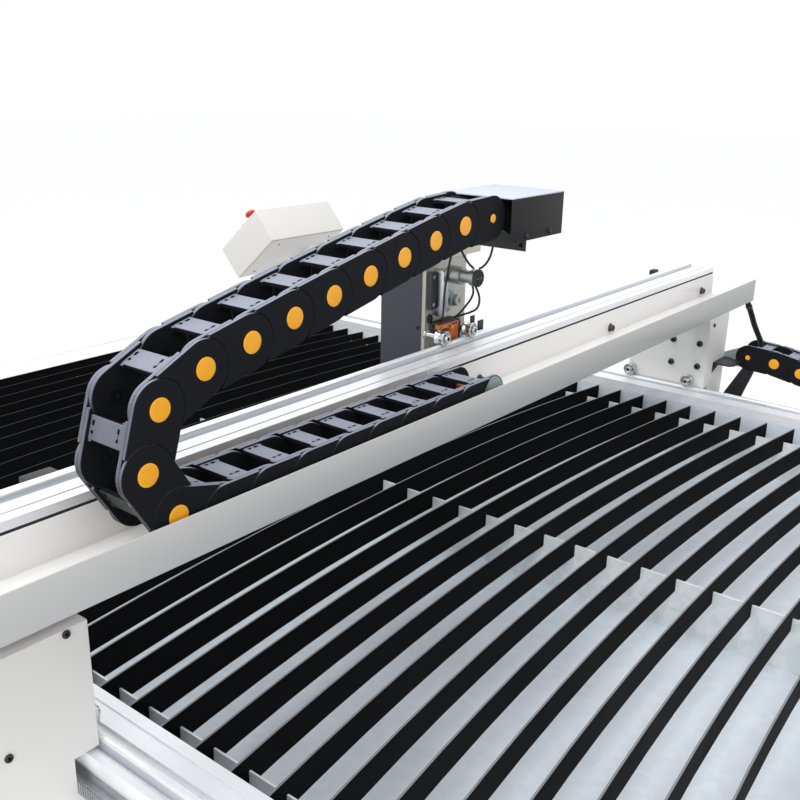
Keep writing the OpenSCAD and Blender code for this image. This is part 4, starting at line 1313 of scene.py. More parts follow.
    def chain_bracket(self) -> None:
        """Galvanised end plate, shelf, gusset and strut of the side chain."""
        sketch = Sketch()
        x, z = SIDE_CHAIN_END
        plate = Outline(-64, 829.2).to((x, z - 31)).arc(x, z, 202, 20).to((-4, 863), (-64, 863))
        sketch.plate(plate, 3, turned_to((0, 1065, 0), (1, 0, 0), (0, 0, 1)), 0.4)
        shelf = Outline(-4, 983).to((40, 983), (50, 997), (50, 1052), (20, 1052), (20, 1062),
                                    (-4, 1062))
        sketch.use(1).plate(shelf, 5, Matrix.Translation((0, 0, 845)), 0.6)
        gusset = Outline(-4, 820).to((10, 845), (-4, 845))
        sketch.plate(gusset, 5, turned_to((0, 988, 0), (1, 0, 0), (0, 0, 1)), 0.5)
        strut = Outline(48, 825).to((82, 825), (50, 730), (37, 703), (-64, 703), (-64, 735),
                                    (0, 735))
        sketch.plate(strut, 6, turned_to((0, 1068, 0), (1, 0, 0), (0, 0, 1)), 1.2)
        for x, z in ((-48, 846), (-20, 846), (-48, 719), (-20, 719)):
            sketch.use(1).socket_head((x, 1065 if z > 800 else 1068, z), (0, 1, 0), 5.2, 5)
        self.shop.fit(sketch, "side_chain_end_bracket", "gantry", "galvanised",
                      [Paints.ZINC, Paints.BLACK], ["side_chain_bracket"])

    def cable(self) -> None:
        """Twin black leads from the tray into the side chain, with their tie."""
        route = [(44, 900, 1057), (46, 960, 1051), (50, 1010, 1030), (53, 1035, 1004),
                 (57, 1052, 980), (63, 1068, 950), (70, 1083, 924), (77, 1094, 902),
                 (83, 1099, 882), (98, 1102, 867), (125, 1104, 860), (160, 1104, 852)]
        for k, (dx, dy) in enumerate(((-3.6, -1.5), (3.6, 1.5))):
            lead(self.shop, f"tray_lead_{k + 1}", [(x + dx, y + dy, z) for x, y, z in route],
                 3.7, "gantry", ["gantry_cables"] if k == 0 else [])
        sketch = Sketch()
        sketch.disc((53, 1036, 1003), (0.15, 0.6, -0.8), 8.6, 5)
        sketch.block((50, 1046, 997), (57, 1050, 1004), 0.8)
        self.shop.fit(sketch, "tray_lead_tie", "gantry", "cable_rubber", [Paints.PLASTIC])


def roller_ring(sketch: Sketch, centre: Point, axis: Point, diameter: float, width: float,
                bore: float, depth: float) -> None:
    """A grooved roller with a shield ring on each face, drawn as a thin ring of painted shade.

    Args:
        sketch: where it is drawn, bright metal first and the painted shade second.
        centre: its middle.
        axis: its axis.
        diameter: over its rims.
        width: along the axis.
        bore: its bore's radius.
        depth: of the groove for the rod.
    """
    rod, half, rim = 10.3, width / 2, diameter / 2
    reach = math.acos((rod - depth) / rod)
    middle = rim - depth + rod
    groove = [(rod * math.sin(a), middle - rod * math.cos(a))
              for a in (reach * k / 5 for k in range(-5, 6))]
    profile = [(-half, bore), (-half, rim - 3.2), (-half + 0.5, rim - 2.9), (-half, rim - 2.6),
               (-half, rim - 0.9), (-half + 0.9, rim)] + groove + [
        (half - 0.9, rim), (half, rim - 0.9), (half, rim - 2.6), (half - 0.5, rim - 2.9),
        (half, rim - 3.2), (half, bore)]
    sketch.turned(centre, axis, profile, 48, ring=True)
    for sign in (-1, 1):
        out = Vector(centre) + Vector(axis).normalized() * sign * half
        way = Vector(axis) * sign
        # Painted shade: a thin dark ring on each face.
        sketch.use(1).turned(out, way, [(-0.2, rim - 3.6), (0.04, rim - 3.6), (0.04, rim - 4.4),
                                        (-0.2, rim - 4.4)], 36, ring=True)
        sketch.use(0)


def gear(sketch: Sketch, base: Point, axis: Point, pitch_r: float, width: float,
         bore: float, teeth: int = 20) -> None:
    """A straight-toothed pinion.

    Args:
        sketch: where it is drawn.
        base: the middle of its lower face.
        axis: its axis.
        pitch_r: the radius of its solid in the frame.
        width: along the axis.
        bore: its bore's radius.
        teeth: how many.
    """
    root, tip = pitch_r - 3.2, pitch_r
    sketch.turned(base, axis, [(0, bore), (0, root), (width, root), (width, bore)], 40,
                  ring=True)
    kept = sketch.place
    for k in range(teeth):
        sketch.place = kept @ upright(base, axis) @ Matrix.Rotation(
            2 * math.pi * k / teeth, 4, "Z")
        tooth = Outline(root - 0.2, -1.7).to((tip - 0.4, -0.8), (tip, -0.5), (tip, 0.5),
                                             (tip - 0.4, 0.8), (root - 0.2, 1.7))
        sketch.plate(tooth, width - 1, Matrix.Translation((0, 0, 0.5)))
    sketch.place = kept


def stepper(sketch: Sketch, base: Point, axis: Point, size: float, length: float,
            boss: float, shaft: float, reach: float) -> None:
    """A square motor: flange, laminated middle, end bell, corner screws and shaft.

    Args:
        sketch: dark shell first, bright metal second, painted shade of recesses third.
        base: the middle of its flange's face.
        axis: from the flange to its back.
        size: the flange's side.
        length: over the body.
        boss: the pilot's radius.
        shaft: the shaft's radius.
        reach: how far the shaft stands out.
    """
    kept = sketch.place
    sketch.place = kept @ upright(base, axis)
    h = size / 2
    sketch.use(0).block((-h, -h, 0), (h, h, 9), 1.5)
    sketch.block((-h, -h, length - 18), (h, h, length), 1.5)
    sketch.use(1).block((-h + 1.2, -h + 1.2, 8.5), (h - 1.2, h - 1.2, length - 17.5), 3.5)
    for x in (-1, 1):
        for y in (-1, 1):
            sketch.socket_head((x * (h - 5.5), y * (h - 5.5), length), (0, 0, 1), 3, 1.6, dark=2)
    sketch.use(1).turned((0, 0, 0), (0, 0, -1), [(-0.5, 0), (-0.5, boss), (2, boss), (2, shaft),
                                                 (reach - 1, shaft), (reach, shaft - 1),
                                                 (reach, 0)], 32)
    # Painted shade: a dark patch for a recess in one side of the end bell.
    sketch.use(2).block((-9, h - 0.3, length - 15), (9, h + 0.01, length - 5))
    sketch.use(0)
    sketch.place = kept


def lead(shop: Shop, name: str, route: Sequence[Point], radius: float, body: str,
         replaces: Iterable[str] = ()) -> None:
    """A round lead on a smooth curve through its route.

    Args:
        shop: where it is fitted.
        name: the piece's name.
        route: its points.
        radius: of the sheath.
        body: the body it rides on.
        replaces: frame nodes that it stands for.
    """
    curve = bpy.data.curves.new(name, "CURVE")
    curve.dimensions = "3D"
    curve.bevel_depth = radius * MM
    curve.bevel_resolution = 3
    curve.use_fill_caps = True
    curve.resolution_u = 6
    spline = curve.splines.new("BEZIER")
    spline.bezier_points.add(len(route) - 1)
    for point, at in zip(spline.bezier_points, route):
        point.co = shop.at(*at)
        point.handle_left_type = point.handle_right_type = "AUTO"
    curve.materials.append(Paints.RUBBER.build())
    piece = placed(name, curve)
    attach(piece, body)
    if replaces:
        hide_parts(*replaces)
    shop.count += 1
    log.info("fitted %s to %s", name, body)


# ---- carriage

@dataclass
class Carriage:
    """Cross carriage: plate, rollers, drive, lifter, switches and hood."""

    shop: Shop
    face: float = -105
    rod_x: float = -70
    roller_y: Range = (-160.7, -78.6)
    roller_z: float = 1131.0
    drive: Range = (-75, 1050.7)
    chain_end: Range = (-274.5, 1363.8)
    cover_x: float = -118
    cover_near: float = -167
    cover_screws: tuple[float, ...] = (1142, 1030, 1255)
    hood_x: Range = (-20, 110)
    hood_y: Range = (-243, -92)
    hood_z: Range = (1324, 1391)

    def build(self) -> None:
        """Dresses the sheets and fits every piece of the carriage."""
        self.shop.dress(Paints.PLATE, "carriage_plate")
        self.shop.dress(Paints.COVER, "carriage_cover")
        for step in (self.axles, self.rollers, self.motor, self.gearbox, self.gearmotor,
                     self.switches, self.screws, self.hood, self.hood_frame, self.wires):
            step()

    def axles(self) -> None:
        """Standoffs, pins and socket heads of the rollers, and the sliding pad."""
        sketch = Sketch()
        for y in self.roller_y:
            base = (self.face, y, self.roller_z)
            sketch.turned(base, (1, 0, 0), [(0, 0), (0, 8.2), (3, 8.2), (3.4, 7.8), (3.4, 6),
                                            (24.2, 6), (24.6, 5.6), (24.6, 0)], 28)
            sketch.turned((self.rod_x - 10, y, self.roller_z), (1, 0, 0),
                          [(-0.6, 0), (-0.6, 4), (20.4, 4), (20.4, 7.6), (21.0, 7.6), (21.0, 0)],
                          24)
            sketch.socket_head((self.rod_x + 10.9, y, self.roller_z), (1, 0, 0), 6.3, 3.1, 0.55,
                               dark=1)
        sketch.use(2).block((self.face, -130, 1002), (-78.4, -90, 1022), 1.2)
        self.shop.fit(sketch, "carriage_roller_pins", "carriage", "bright_metal",
                      [Paints.NICKEL, Paints.RECESS_SHADE, Paints.PLASTIC], ["carriage_axles"])

    def rollers(self) -> None:
        """Both grooved rollers on the beam's rod."""
        for y, name, body in zip(self.roller_y, ("near", "far"), ("low", "high")):
            sketch = Sketch()
            roller_ring(sketch, (self.rod_x, y, self.roller_z), (1, 0, 0), 26, 19.4, 4.06, 2)
            self.shop.fit(sketch, f"grooved_roller_{name}", f"carriage_roller_{body}",
                          "bright_steel", [Paints.NICKEL, Paints.RECESS_SHADE],
                          [f"carriage_roller_{name}"])

    def motor(self) -> None:
        """Cross drive's motor in the cover, and its pinion under the beam."""
        sketch = Sketch()
        stepper(sketch, (-113, *self.drive), (-1, 0, 0), 56, 74, 8, 4, 32)
        self.shop.fit(sketch, "cross_drive_motor", "carriage", "dark_metal",
                      [Paints.MOTOR, Paints.MACHINED, Paints.RECESS_SHADE], ["carriage_motor"])
        sketch = Sketch()
        gear(sketch, (-97, *self.drive), (1, 0, 0), 15, 18, 4.06)
        self.shop.fit(sketch, "cross_drive_pinion", "carriage_drive", "bright_metal",
                      [Paints.MACHINED], ["carriage_pinion"])

    def gearbox(self) -> None:
        """Cast worm gearbox of the lifter with its flat cover bar and bosses."""
        x, sketch = self.face, Sketch()
        sketch.use(1).block((x + 0.2, -143, 1162), (-84.6, -126.6, 1243.6), 1.6)
        sketch.block((-85.2, -142.4, 1164), (-83.2, -128, 1241), 0.6)
        sketch.use(0).block((x + 0.2, -126.4, 1186), (-90.5, -94, 1239), 5, 4)
        sketch.block((x + 0.2, -127.5, 1167), (-93, -100, 1192), 4, 4)
        sketch.turned((x + 0.2, -100.6, 1186), (1, 0, 0),
                      [(0, 0), (0, 11.8), (16, 11.8), (17, 10.6), (25, 10.2), (25.8, 9.2),
                       (25.8, 4.2), (24, 4.2), (24, 0)], 32)
        sketch.turned((x + 0.2, -109, 1214), (1, 0, 0),
                      [(0, 0), (0, 13), (14.6, 13), (16, 11.4), (16, 0)], 32)
        sketch.turned((x + 4, -119, 1176), (0, 0, -1), [(0, 0), (0, 6.4), (8.6, 6.4), (9.6, 5.4),
                                                        (9.6, 0)], 24)
        for k in range(4):
            z = 1192 + 10 * k
            sketch.block((-91, -125, z), (-89.2, -97 + 2 * k, z + 2.2), 0.6)
        for y, z in ((-121.5, 1193.5), (-119.5, 1171.5)):
            sketch.use(1).turned((-92.6, y, z), (1, 0, 0),
                                 [(-2, 0), (-2, 4.8), (3.2, 4.8), (4.2, 3.8), (4.2, 1.6),
                                  (2.6, 1.6), (2.6, 0)], 20)
        for y, z in ((-135, 1170), (-135, 1235)):
            sketch.turned((-83.3, y, z), (1, 0, 0), [(-1, 0), (-1, 2.3), (0.28, 2.3), (0.28, 0)],
                          16)
        self.shop.fit(sketch, "lifter_gearbox", "carriage", "bright_metal",
                      [Paints.CAST, Paints.MACHINED], ["lift_gearbox"])

    def gearmotor(self) -> None:
        """Small motor on the gearbox, its can, waist, dark terminal cap and tabs."""
        sketch, base = Sketch(), (-83, -128, 1237)
        sketch.use(0).turned(base, (1, 0, 0), [(-9.5, 0), (-9.5, 3.9), (0, 3.9), (0, 14.6),
                                               (0.8, 15.4), (28.8, 15.4), (29.8, 14.4),
                                               (30, 11), (48, 11), (48.2, 13), (48.8, 14.2),
                                               (58, 14.2), (58, 0)], 40)
        for r, along in ((15.48, 3.2), (15.48, 26.4)):
            sketch.turned(Vector(base) + Vector((along, 0, 0)), (1, 0, 0),
                          [(0, 14.8), (0, r), (1.2, r), (1.2, 14.8)], 40, ring=True)
        end = Vector(base) + Vector((57.9, 0, 0))
        sketch.use(1).turned(end, (1, 0, 0), [(0, 0), (0, 14.9), (4.4, 14.9), (5.4, 13.8),
                                              (5.4, 10.6), (4.6, 10.4), (4.6, 4.2), (6, 3.8),
                                              (6, 0)], 32)
        for k in range(6):
            turn = Matrix.Translation(end) @ Matrix.Rotation(math.radians(60 * k + 20), 4, "X")
            kept, sketch.place = sketch.place, turn
            sketch.block((3.8, 4.4, -1.1), (5.6, 10.2, 1.1), 0.3, 1)
            sketch.place = kept
        for dy in (-5.4, 5.4):
            sketch.use(2).block((end.x + 4.8, end.y + dy - 1.6, end.z - 0.5),
                                (end.x + 6.0, end.y + dy + 1.6, end.z + 0.5), 0.2, 1)
        self.shop.fit(sketch, "lifter_gearmotor", "carriage", "bright_metal",
                      [Paints.CAST, Paints.PLASTIC, Paints.MACHINED], ["lift_motor"])

    def switches(self) -> None:
        """Limit switches with rollers and levers, their bracket and the black sensor."""
        x, sketch = self.face, Sketch()
        sketch.use(0).block((-94, -150, 1139.4), (-84, -116.4, 1148), 0.8)
        sketch.block((-94, -115.8, 1115.4), (-84, -92.2, 1148), 0.8)
        sketch.use(1).block((-84.3, -147, 1141), (-83.8, -144, 1144.5))
        sketch.block((-84.3, -122, 1141), (-83.8, -119, 1144.5))
        sketch.block((-84.2, -112, 1143.4), (-83.7, -96.4, 1146))
        sketch.use(2)
        for y, z in ((-98.4, 1121), (-110.4, 1139)):
            sketch.pan_head((-84, y, z), (1, 0, 0), 2.3)
        sketch.pan_head((-84, -134, 1143.6), (1, 0, 0), 2.2)
        sketch.use(1).block((x, -150, 1148.2), (-86, -86, 1151), 0.5)
        sketch.block((x, -150, 1130), (x + 5, -86, 1151), 0.5)
        sketch.block((-94, -91.6, 1115.4), (-84, -86, 1147.8), 0.6)
        sketch.block((x, -160, 1175), (x + 8, -143.4, 1240), 1.6)
        for z in (1183, 1232):
            sketch.use(2).turned((x + 8, -151.6, z), (1, 0, 0),
                                 [(-0.2, 0), (-0.2, 3.4), (0.9, 3.2), (1.7, 2.2), (1.9, 0)], 20)
            sketch.use(1).block((x + 9.6, -153.8, z - 0.4), (x + 10, -149.4, z + 0.4))
        flag = (-26, -10)
        sketch.use(1).block((x, flag[0], 1115.3), (x + 3, -14, 1140), 0.4)
        sketch.block((x, flag[0], 1115.2), (x + 20, flag[1], 1118), 0.4)
        sketch.block((x + 17, flag[0], 1115.2), (x + 20, flag[1], 1134), 0.5)
        self.shop.fit(sketch, "carriage_limit_switches", "carriage", "black_plastic",
                      [Paints.SWITCH, Paints.PLASTIC, Paints.MACHINED], ["limit_switches"])

    def screws(self) -> None:
        """Ring bolt beside the near roller, cover screws and plate screws."""
        x, sketch = self.face, Sketch()
        sketch.turned((x - 0.4, -152, 1158), (1, 0, 0),
                      [(0, 0), (0, 7.6), (2.2, 7.6), (3.2, 6.8), (3.2, 5.2), (2.2, 4.8),
                       (2.2, 2.6), (3.4, 2.2), (3.4, 0)], 32)
        for z in (1230, 1178):
            sketch.socket_head((x - 0.2, -66, z), (1, 0, 0), 4.2, 3.6, dark=1)
        for y, way in ((self.cover_near, -1), (self.cover_far, 1)):
            for z in self.cover_screws:
                sketch.socket_head((self.cover_x, y, z), (0, way, 0), 3.4, 2.6, dark=1)
        self.shop.fit(sketch, "carriage_screws", "carriage", "dark_metal",
                      [Paints.MOTOR, Paints.RECESS_SHADE])

    @property
    def cover_far(self) -> float:
        """The cover's outer face away from the near side."""
        return (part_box("carriage_cover")[1].y - self.shop.origin.y) / MM

    def hood(self) -> None:
        """Folded hood over the chain's moving end, with its screws and a top sheet in painted
        highlight.
        """
        (x0, x1), (y0, y1), (z0, z1) = self.hood_x, self.hood_y, self.hood_z
        sketch = Sketch()
        # Painted highlight: the top sheet takes a pale copy of the hood's black.
        sketch.use(2).block((x0, y0, z1 - 2), (x1, y1, z1), 0.5)
        sketch.use(0).block((x1 - 2, y0 + 0.05, z0), (x1, y1, z1 - 1.2), 0.5)
        sketch.block((x0, y0 + 0.05, 1352), (x0 + 2, y1, z1 - 1.2), 0.5)
        sketch.block((x0, y1 - 2, z0), (x1 - 0.3, y1, z1 - 1.2), 0.5)
        for y in (-199, -130):
            sketch.use(1).turned((x1, y, 1331), (1, 0, 0), [(-0.5, 0), (-0.5, 4.4), (1.6, 4.2),
                                                            (3.0, 2.8), (3.0, 0)], 20)
        sketch.turned((x1 - 2, -233, 1372), (-1, 0, 0), [(0, 0), (0, 3.6), (1.8, 3.4), (2.6, 2.2),
                                                         (2.6, 0)], 16)
        self.shop.fit(sketch, "chain_end_hood", "carriage", "white_paint",
                      [Paints.HOOD, Paints.BLACK, Paints.HOOD_TOP_HIGHLIGHT], ["chain_hood"])

    def hood_frame(self) -> None:
        """Black cross angle and chain fork, and the cream web below them."""
        x, y, sketch = self.face, -190, Sketch()
        flat = Outline(x, 1306).to((105, 1306), (105, 1345), (x, 1345))
        place = turned_to((0, y, 0), (1, 0, 0), (0, 0, 1))
        sketch.use(0).plate(flat, 3, place, 0.4)
        # Painted shade: a dark disc for a hole in the cross angle.
        sketch.use(2).disc((97, y - 3, 1315), (0, -1, 0), 3.5, 0.06, start=-0.2)
        sketch.use(0).block((x, y - 2.9, 1342), (108, -94.2, 1345), 0.4)
        sketch.block((105, y - 2.9, 1325), (108, -94.2, 1345), 0.4)
        end = self.chain_end
        for w in (22.4, 85.6):
            lug = Outline(end[0], end[1] + 26).arc(end[0], end[1], 240, 24)
            lug.to((y - 20, 1330), (y - 3.2, 1330), (y - 3.2, end[1] + 15))
            sketch.plate(lug, 3, turned_to((w, 0, 0), (0, 1, 0), (0, 0, 1)), 0.4)
        sketch.use(1).block((x + 0.05, y, 1258), (x + 3, -5, 1341.9), 0.5)
        sketch.block((x - 8, -160, 1265.1), (x, -60, 1300), 0.5)
        web = Outline(x + 3, 1341.9).to((x + 3, 1262), (x + 20, 1296), (60, 1330), (60, 1341.9))
        sketch.plate(web, 2, turned_to((0, y + 12, 0), (1, 0, 0), (0, 0, 1)), 0.3)
        self.shop.fit(sketch, "hood_carrier", "carriage", "white_paint",
                      [Paints.BLACK, Paints.CREAM, Paints.RECESS_SHADE], ["hood_bracket"])

    def wires(self) -> None:
        """Thin leads from the hood to the motor, the sensor and the switches."""
        routes = {
            "motor_lead": [(-60, -160, 1341), (-56, -158, 1320), (-50, -154, 1300),
                           (-44, -150, 1285), (-38, -146, 1272), (-33, -141, 1262),
                           (-30, -137, 1257), (-28, -134, 1254)],
            "motor_loop": [(-20, -110, 1341), (-16, -104, 1320), (-14, -100, 1300),
                           (-16, -100, 1280), (-20, -104, 1264), (-25, -112, 1254),
                           (-28, -118, 1251)],
            "sensor_lead": [(-50, -150, 1341), (-56, -150, 1310), (-64, -148, 1280),
                            (-72, -146, 1250), (-76, -146, 1225), (-78, -147, 1200),
                            (-79, -147, 1178), (-81, -146, 1163), (-88, -140, 1152.8)],
            "switch_lead_a": [(-36, -124, 1222), (-38, -118, 1210), (-46, -112, 1196),
                              (-58, -108, 1182), (-70, -106, 1168), (-80, -104, 1159),
                              (-88, -102, 1153.5)],
            "switch_lead_b": [(-32, -122, 1222), (-30, -114, 1208), (-34, -104, 1192),
                              (-44, -96, 1176), (-60, -92, 1166), (-76, -91, 1159),
                              (-88, -90, 1153.5)]}
        for k, (name, route) in enumerate(routes.items()):
            lead(self.shop, name, route, 1.9, "carriage", ["carriage_cables"] if k == 0 else [])


@dataclass
class Lifter:
    """Vertical slide with the torch that it carries."""

    shop: Shop
    x: float = -175
    y: float = -135
    tip: float = 866
    top: float = 1215

    def build(self) -> None:
        """Dresses the slide and fits the holder and the torch."""
        self.shop.dress(Paints.MACHINED, "lift_rail")
        self.holder()
        self.torch()

    def holder(self) -> None:
        """Sliding block with two split clamps and their screws."""
        sketch, y = Sketch(), self.y
        sketch.use(0).block((-148, y - 16, 1096), (-125.4, y + 16, 1206), 1.5)
        for z in (1100, 1172):
            for side in (-1, 1):
                sketch.block((-197, y + side * 17.9, z), (-148.2, y + side * 20, z + 30), 0.8)
            sketch.block((-152, y - 17.9, z), (-148.2, y + 17.9, z + 30), 0.5)
            for dz in (8, 22):
                sketch.use(1).socket_head((-193, y - 20, z + dz), (0, -1, 0), 2.6, 2.4)
            sketch.use(0)
        self.shop.fit(sketch, "torch_slide", "lifter", "dark_metal",
                      [Paints.MOTOR, Paints.NICKEL], ["torch_holder"])

    def torch(self) -> None:
        """Machine torch: body, collars, insulator, copper shield and nozzle."""
        sketch, z = Sketch(), self.tip
        base = (self.x, self.y, z)
        sketch.use(0).turned(base, (0, 0, 1), [
            (60, 0), (60, 14.4), (60.6, 15), (218, 15), (218.6, 15.6), (224, 15.6),
            (224.6, 15), (346, 15), (349, 12.4), (349, 8.8), (356.6, 8.8), (356.6, 0)], 40)
        sketch.use(1).turned(base, (0, 0, 1), [
            (20, 0), (20, 10.8), (34, 13.4), (59.8, 15), (59.8, 0)], 40)
        for k in range(4):
            along = 26 + 6 * k
            sketch.turned(base, (0, 0, 1), [(along, 11), (along, 12.0 + 0.7 * k),
                                            (along + 2.4, 12.2 + 0.7 * k), (along + 2.4, 11)],
                          40, ring=True)
        sketch.use(2).turned(base, (0, 0, 1), [
            (0, 1.2), (0, 4.4), (1.5, 5), (9, 6.2), (10, 8.4), (19.8, 10), (19.8, 0.6),
            (2, 0.6), (2, 1.2)], 36, ring=True)
        self.shop.fit(sketch, "machine_torch", "lifter", "black_plastic",
                      [Paints.PLASTIC, Paints.NICKEL, Paints.COPPER], ["torch"])


# ---- console

@dataclass
class Console:
    """Tilted console on its arm, with its screen, buttons and screws."""

    shop: Shop
    top: tuple[float, float, float] = (-1700, 933, 1092)
    tilt: float = 41
    inset: float = 26
    size: tuple[float, float, float] = (382, 246, 129)
    post: float = 50
    arm_z: float = 690
    post_at: Range = (-1701, 1212)
    button_at: tuple[float, ...] = (52, 107, 151)
    screen_x: Range = (84, 336)
    screen_y: Range = (24, 176)
    bezel_w: float = 7

    @property
    def face(self) -> Matrix:
        """The operator face: x along its length, y down its slope, z out of it."""
        a = math.radians(self.tilt)
        return turned_to(self.top, (0, 1, 0), (-math.cos(a), 0, -math.sin(a)))

    def build(self) -> None:
        """Dresses the screen and fits the shell, the arm, the buttons and the screws."""
        self.shop.dress(Paints.SCREEN, "console_screen")
        self.shell()
        self.arm()
        self.bezel()
        for body, down, size, finish in zip(("estop", "start", "stop"), self.button_at,
                                            (40, 22, 22), (Paints.RED, Paints.GREEN, Paints.RED)):
            self.button(body, down, size, finish)
        self.collars()
        self.screws()

    def shell(self) -> None:
        """Folded sheet box and its screwed back panel, with a grey strip of painted shade in the
        gap round the panel.
        """
        sketch, (wide, deep, thick) = Sketch(self.face), self.size
        sketch.block((0, 0, -thick), (wide, deep, 0), 2.4, 3)
        # Painted shade: a grey strip shows in the gap round the back panel.
        sketch.use(1).block((3.5, 3.5, -thick - 0.9), (wide - 3.5, deep - 3.5, -thick + 0.4), 0.5)
        sketch.use(0).block((5, 5, -thick - 2), (wide - 5, deep - 5, -thick - 0.7), 0.6)
        self.shop.fit(sketch, "console_shell", "bed", "white_paint",
                      [Paints.CONSOLE, Paints.SEAM_SHADE], ["console_box", "console_back"])

    def arm(self) -> None:
        """Square tube from the leg out and up to the console's back, with its foot plate."""
        h, z = self.post / 2, self.arm_z
        x, y = self.post_at
        sketch = Sketch()
        sketch.block((x - h, 902 - h, z), (-1640, 902 + h, z + self.post), 3, 3)
        sketch.block((x - h, 902 - h, z), (x + h, y + h, z + self.post), 3, 3)
        post = bmesh.new()
        bmesh.ops.create_cube(post, size=1.0, matrix=Matrix.Translation((x, y, z + 150))
                              @ Matrix.Diagonal((self.post, self.post, 300, 1.0)))
        level = level_edges(post)
        rounded(post, [e for e in post.edges if e not in level], 3, 3)
        out = self.face.col[2].to_3d()
        back = Vector(self.top) - out * (self.size[2] + 1.6)
        made = bmesh.ops.bisect_plane(post, geom=post.verts[:] + post.edges[:] + post.faces[:],
                                      plane_co=back, plane_no=out, clear_outer=True)
        rim = [g for g in made["geom_cut"] if isinstance(g, bmesh.types.BMEdge)]
        bmesh.ops.contextual_create(post, geom=rim)
        sketch.take(post)
        self.shop.fit(sketch, "console_arm_tube", "bed", "white_paint", [Paints.FRAME],
                      ["console_arm"])

    def bezel(self) -> None:
        """Black frame round the screen and a row of soft keys below it."""
        sketch = Sketch(self.face)
        (x0, x1), (y0, y1), w, h = self.screen_x, self.screen_y, self.bezel_w, 1.6
        for low, high in (((x0, y0, 0), (x1, y0 + w, h)), ((x0, y1 - w, 0), (x1, y1, h)),
                          ((x0, y0 + w, 0), (x0 + w, y1 - w, h)),
                          ((x1 - w, y0 + w, 0), (x1, y1 - w, h))):
            sketch.block(low, high, 0.6)
        for k in range(6):
            sketch.use(1).block((100 + 36 * k, 182, 0), (122 + 36 * k, 190, 1.2), 0.5)
        self.shop.fit(sketch, "console_bezel", "bed", "black_plastic",
                      [Paints.PLASTIC, Paints.CAST])

    def button(self, body: str, down: float, size: float, finish: Finish) -> None:
        """One push button's cap on its stem.

        Args:
            body: the button's own body.
            down: its place down the slope.
            size: its cap's diameter.
            finish: its colour.
        """
        sketch, r = Sketch(self.face), size / 2
        if body == "estop":
            profile = [(-13.8, 0), (-13.8, 10.6), (14, 10.6), (14, r - 3), (15, r - 1),
                       (17, r - 0.2), (20, r), (24, r - 1.2), (26.6, r - 4.5), (27.9, r - 10),
                       (27.9, 0)]
        else:
            profile = [(-13.8, 0), (-13.8, 7.8), (4, 7.8), (4, r - 0.2), (8.6, r - 0.2),
                       (9.6, r - 1.2), (9.9, r - 3), (9.9, 0)]
        sketch.turned((self.inset, down, 0), (0, 0, 1), profile, 48 if body == "estop" else 40)
        slot = "green_plastic" if finish is Paints.GREEN else "red_plastic"
        self.shop.fit(sketch, body + "_button_cap", body, slot, [finish], [body + "_button"])

    def collars(self) -> None:
        """Yellow ring below the emergency stop, and chrome rings round the others."""
        sketch = Sketch(self.face)
        sketch.use(1).turned((self.inset, self.button_at[0], 0), (0, 0, 1), [
            (0, 11.3), (0, 19), (1.4, 19), (1.6, 18.6), (1.6, 15), (7, 14.2), (7.4, 13.6),
            (7.4, 11.3)], 44, ring=True)
        for down in self.button_at[1:]:
            sketch.use(0).turned((self.inset, down, 0), (0, 0, 1), [
                (0, 11.6), (0, 14.8), (3.4, 14.8), (4.6, 13.8), (5, 12.4), (5, 11.6)], 40,
                ring=True)
        self.shop.fit(sketch, "button_collars", "bed", "bright_metal",
                      [Paints.COLLAR, Paints.YELLOW])

    def screws(self) -> None:
        """Small screws at the corners of the operator face and of the back."""
        sketch, (wide, deep, thick) = Sketch(self.face), self.size
        for x in (8, wide - 8):
            for y in (8, deep - 8):
                sketch.use(0).turned((x, y, 0), (0, 0, 1), [
                    (0, 0), (0, 3.4), (1.2, 3), (1.8, 1.8), (1.8, 0)], 20)
        for x in (57, wide - 61):
            for y in (34, deep - 34):
                sketch.use(1).turned((x, y, -thick - 2), (0, 0, -1), [
                    (-0.5, 0), (-0.5, 3.4), (1.2, 3.2), (2.2, 2.2), (2.2, 0)], 20)
        self.shop.fit(sketch, "console_screws", "bed", "bright_metal",
                      [Paints.NICKEL, Paints.BLACK])


# ---- studio

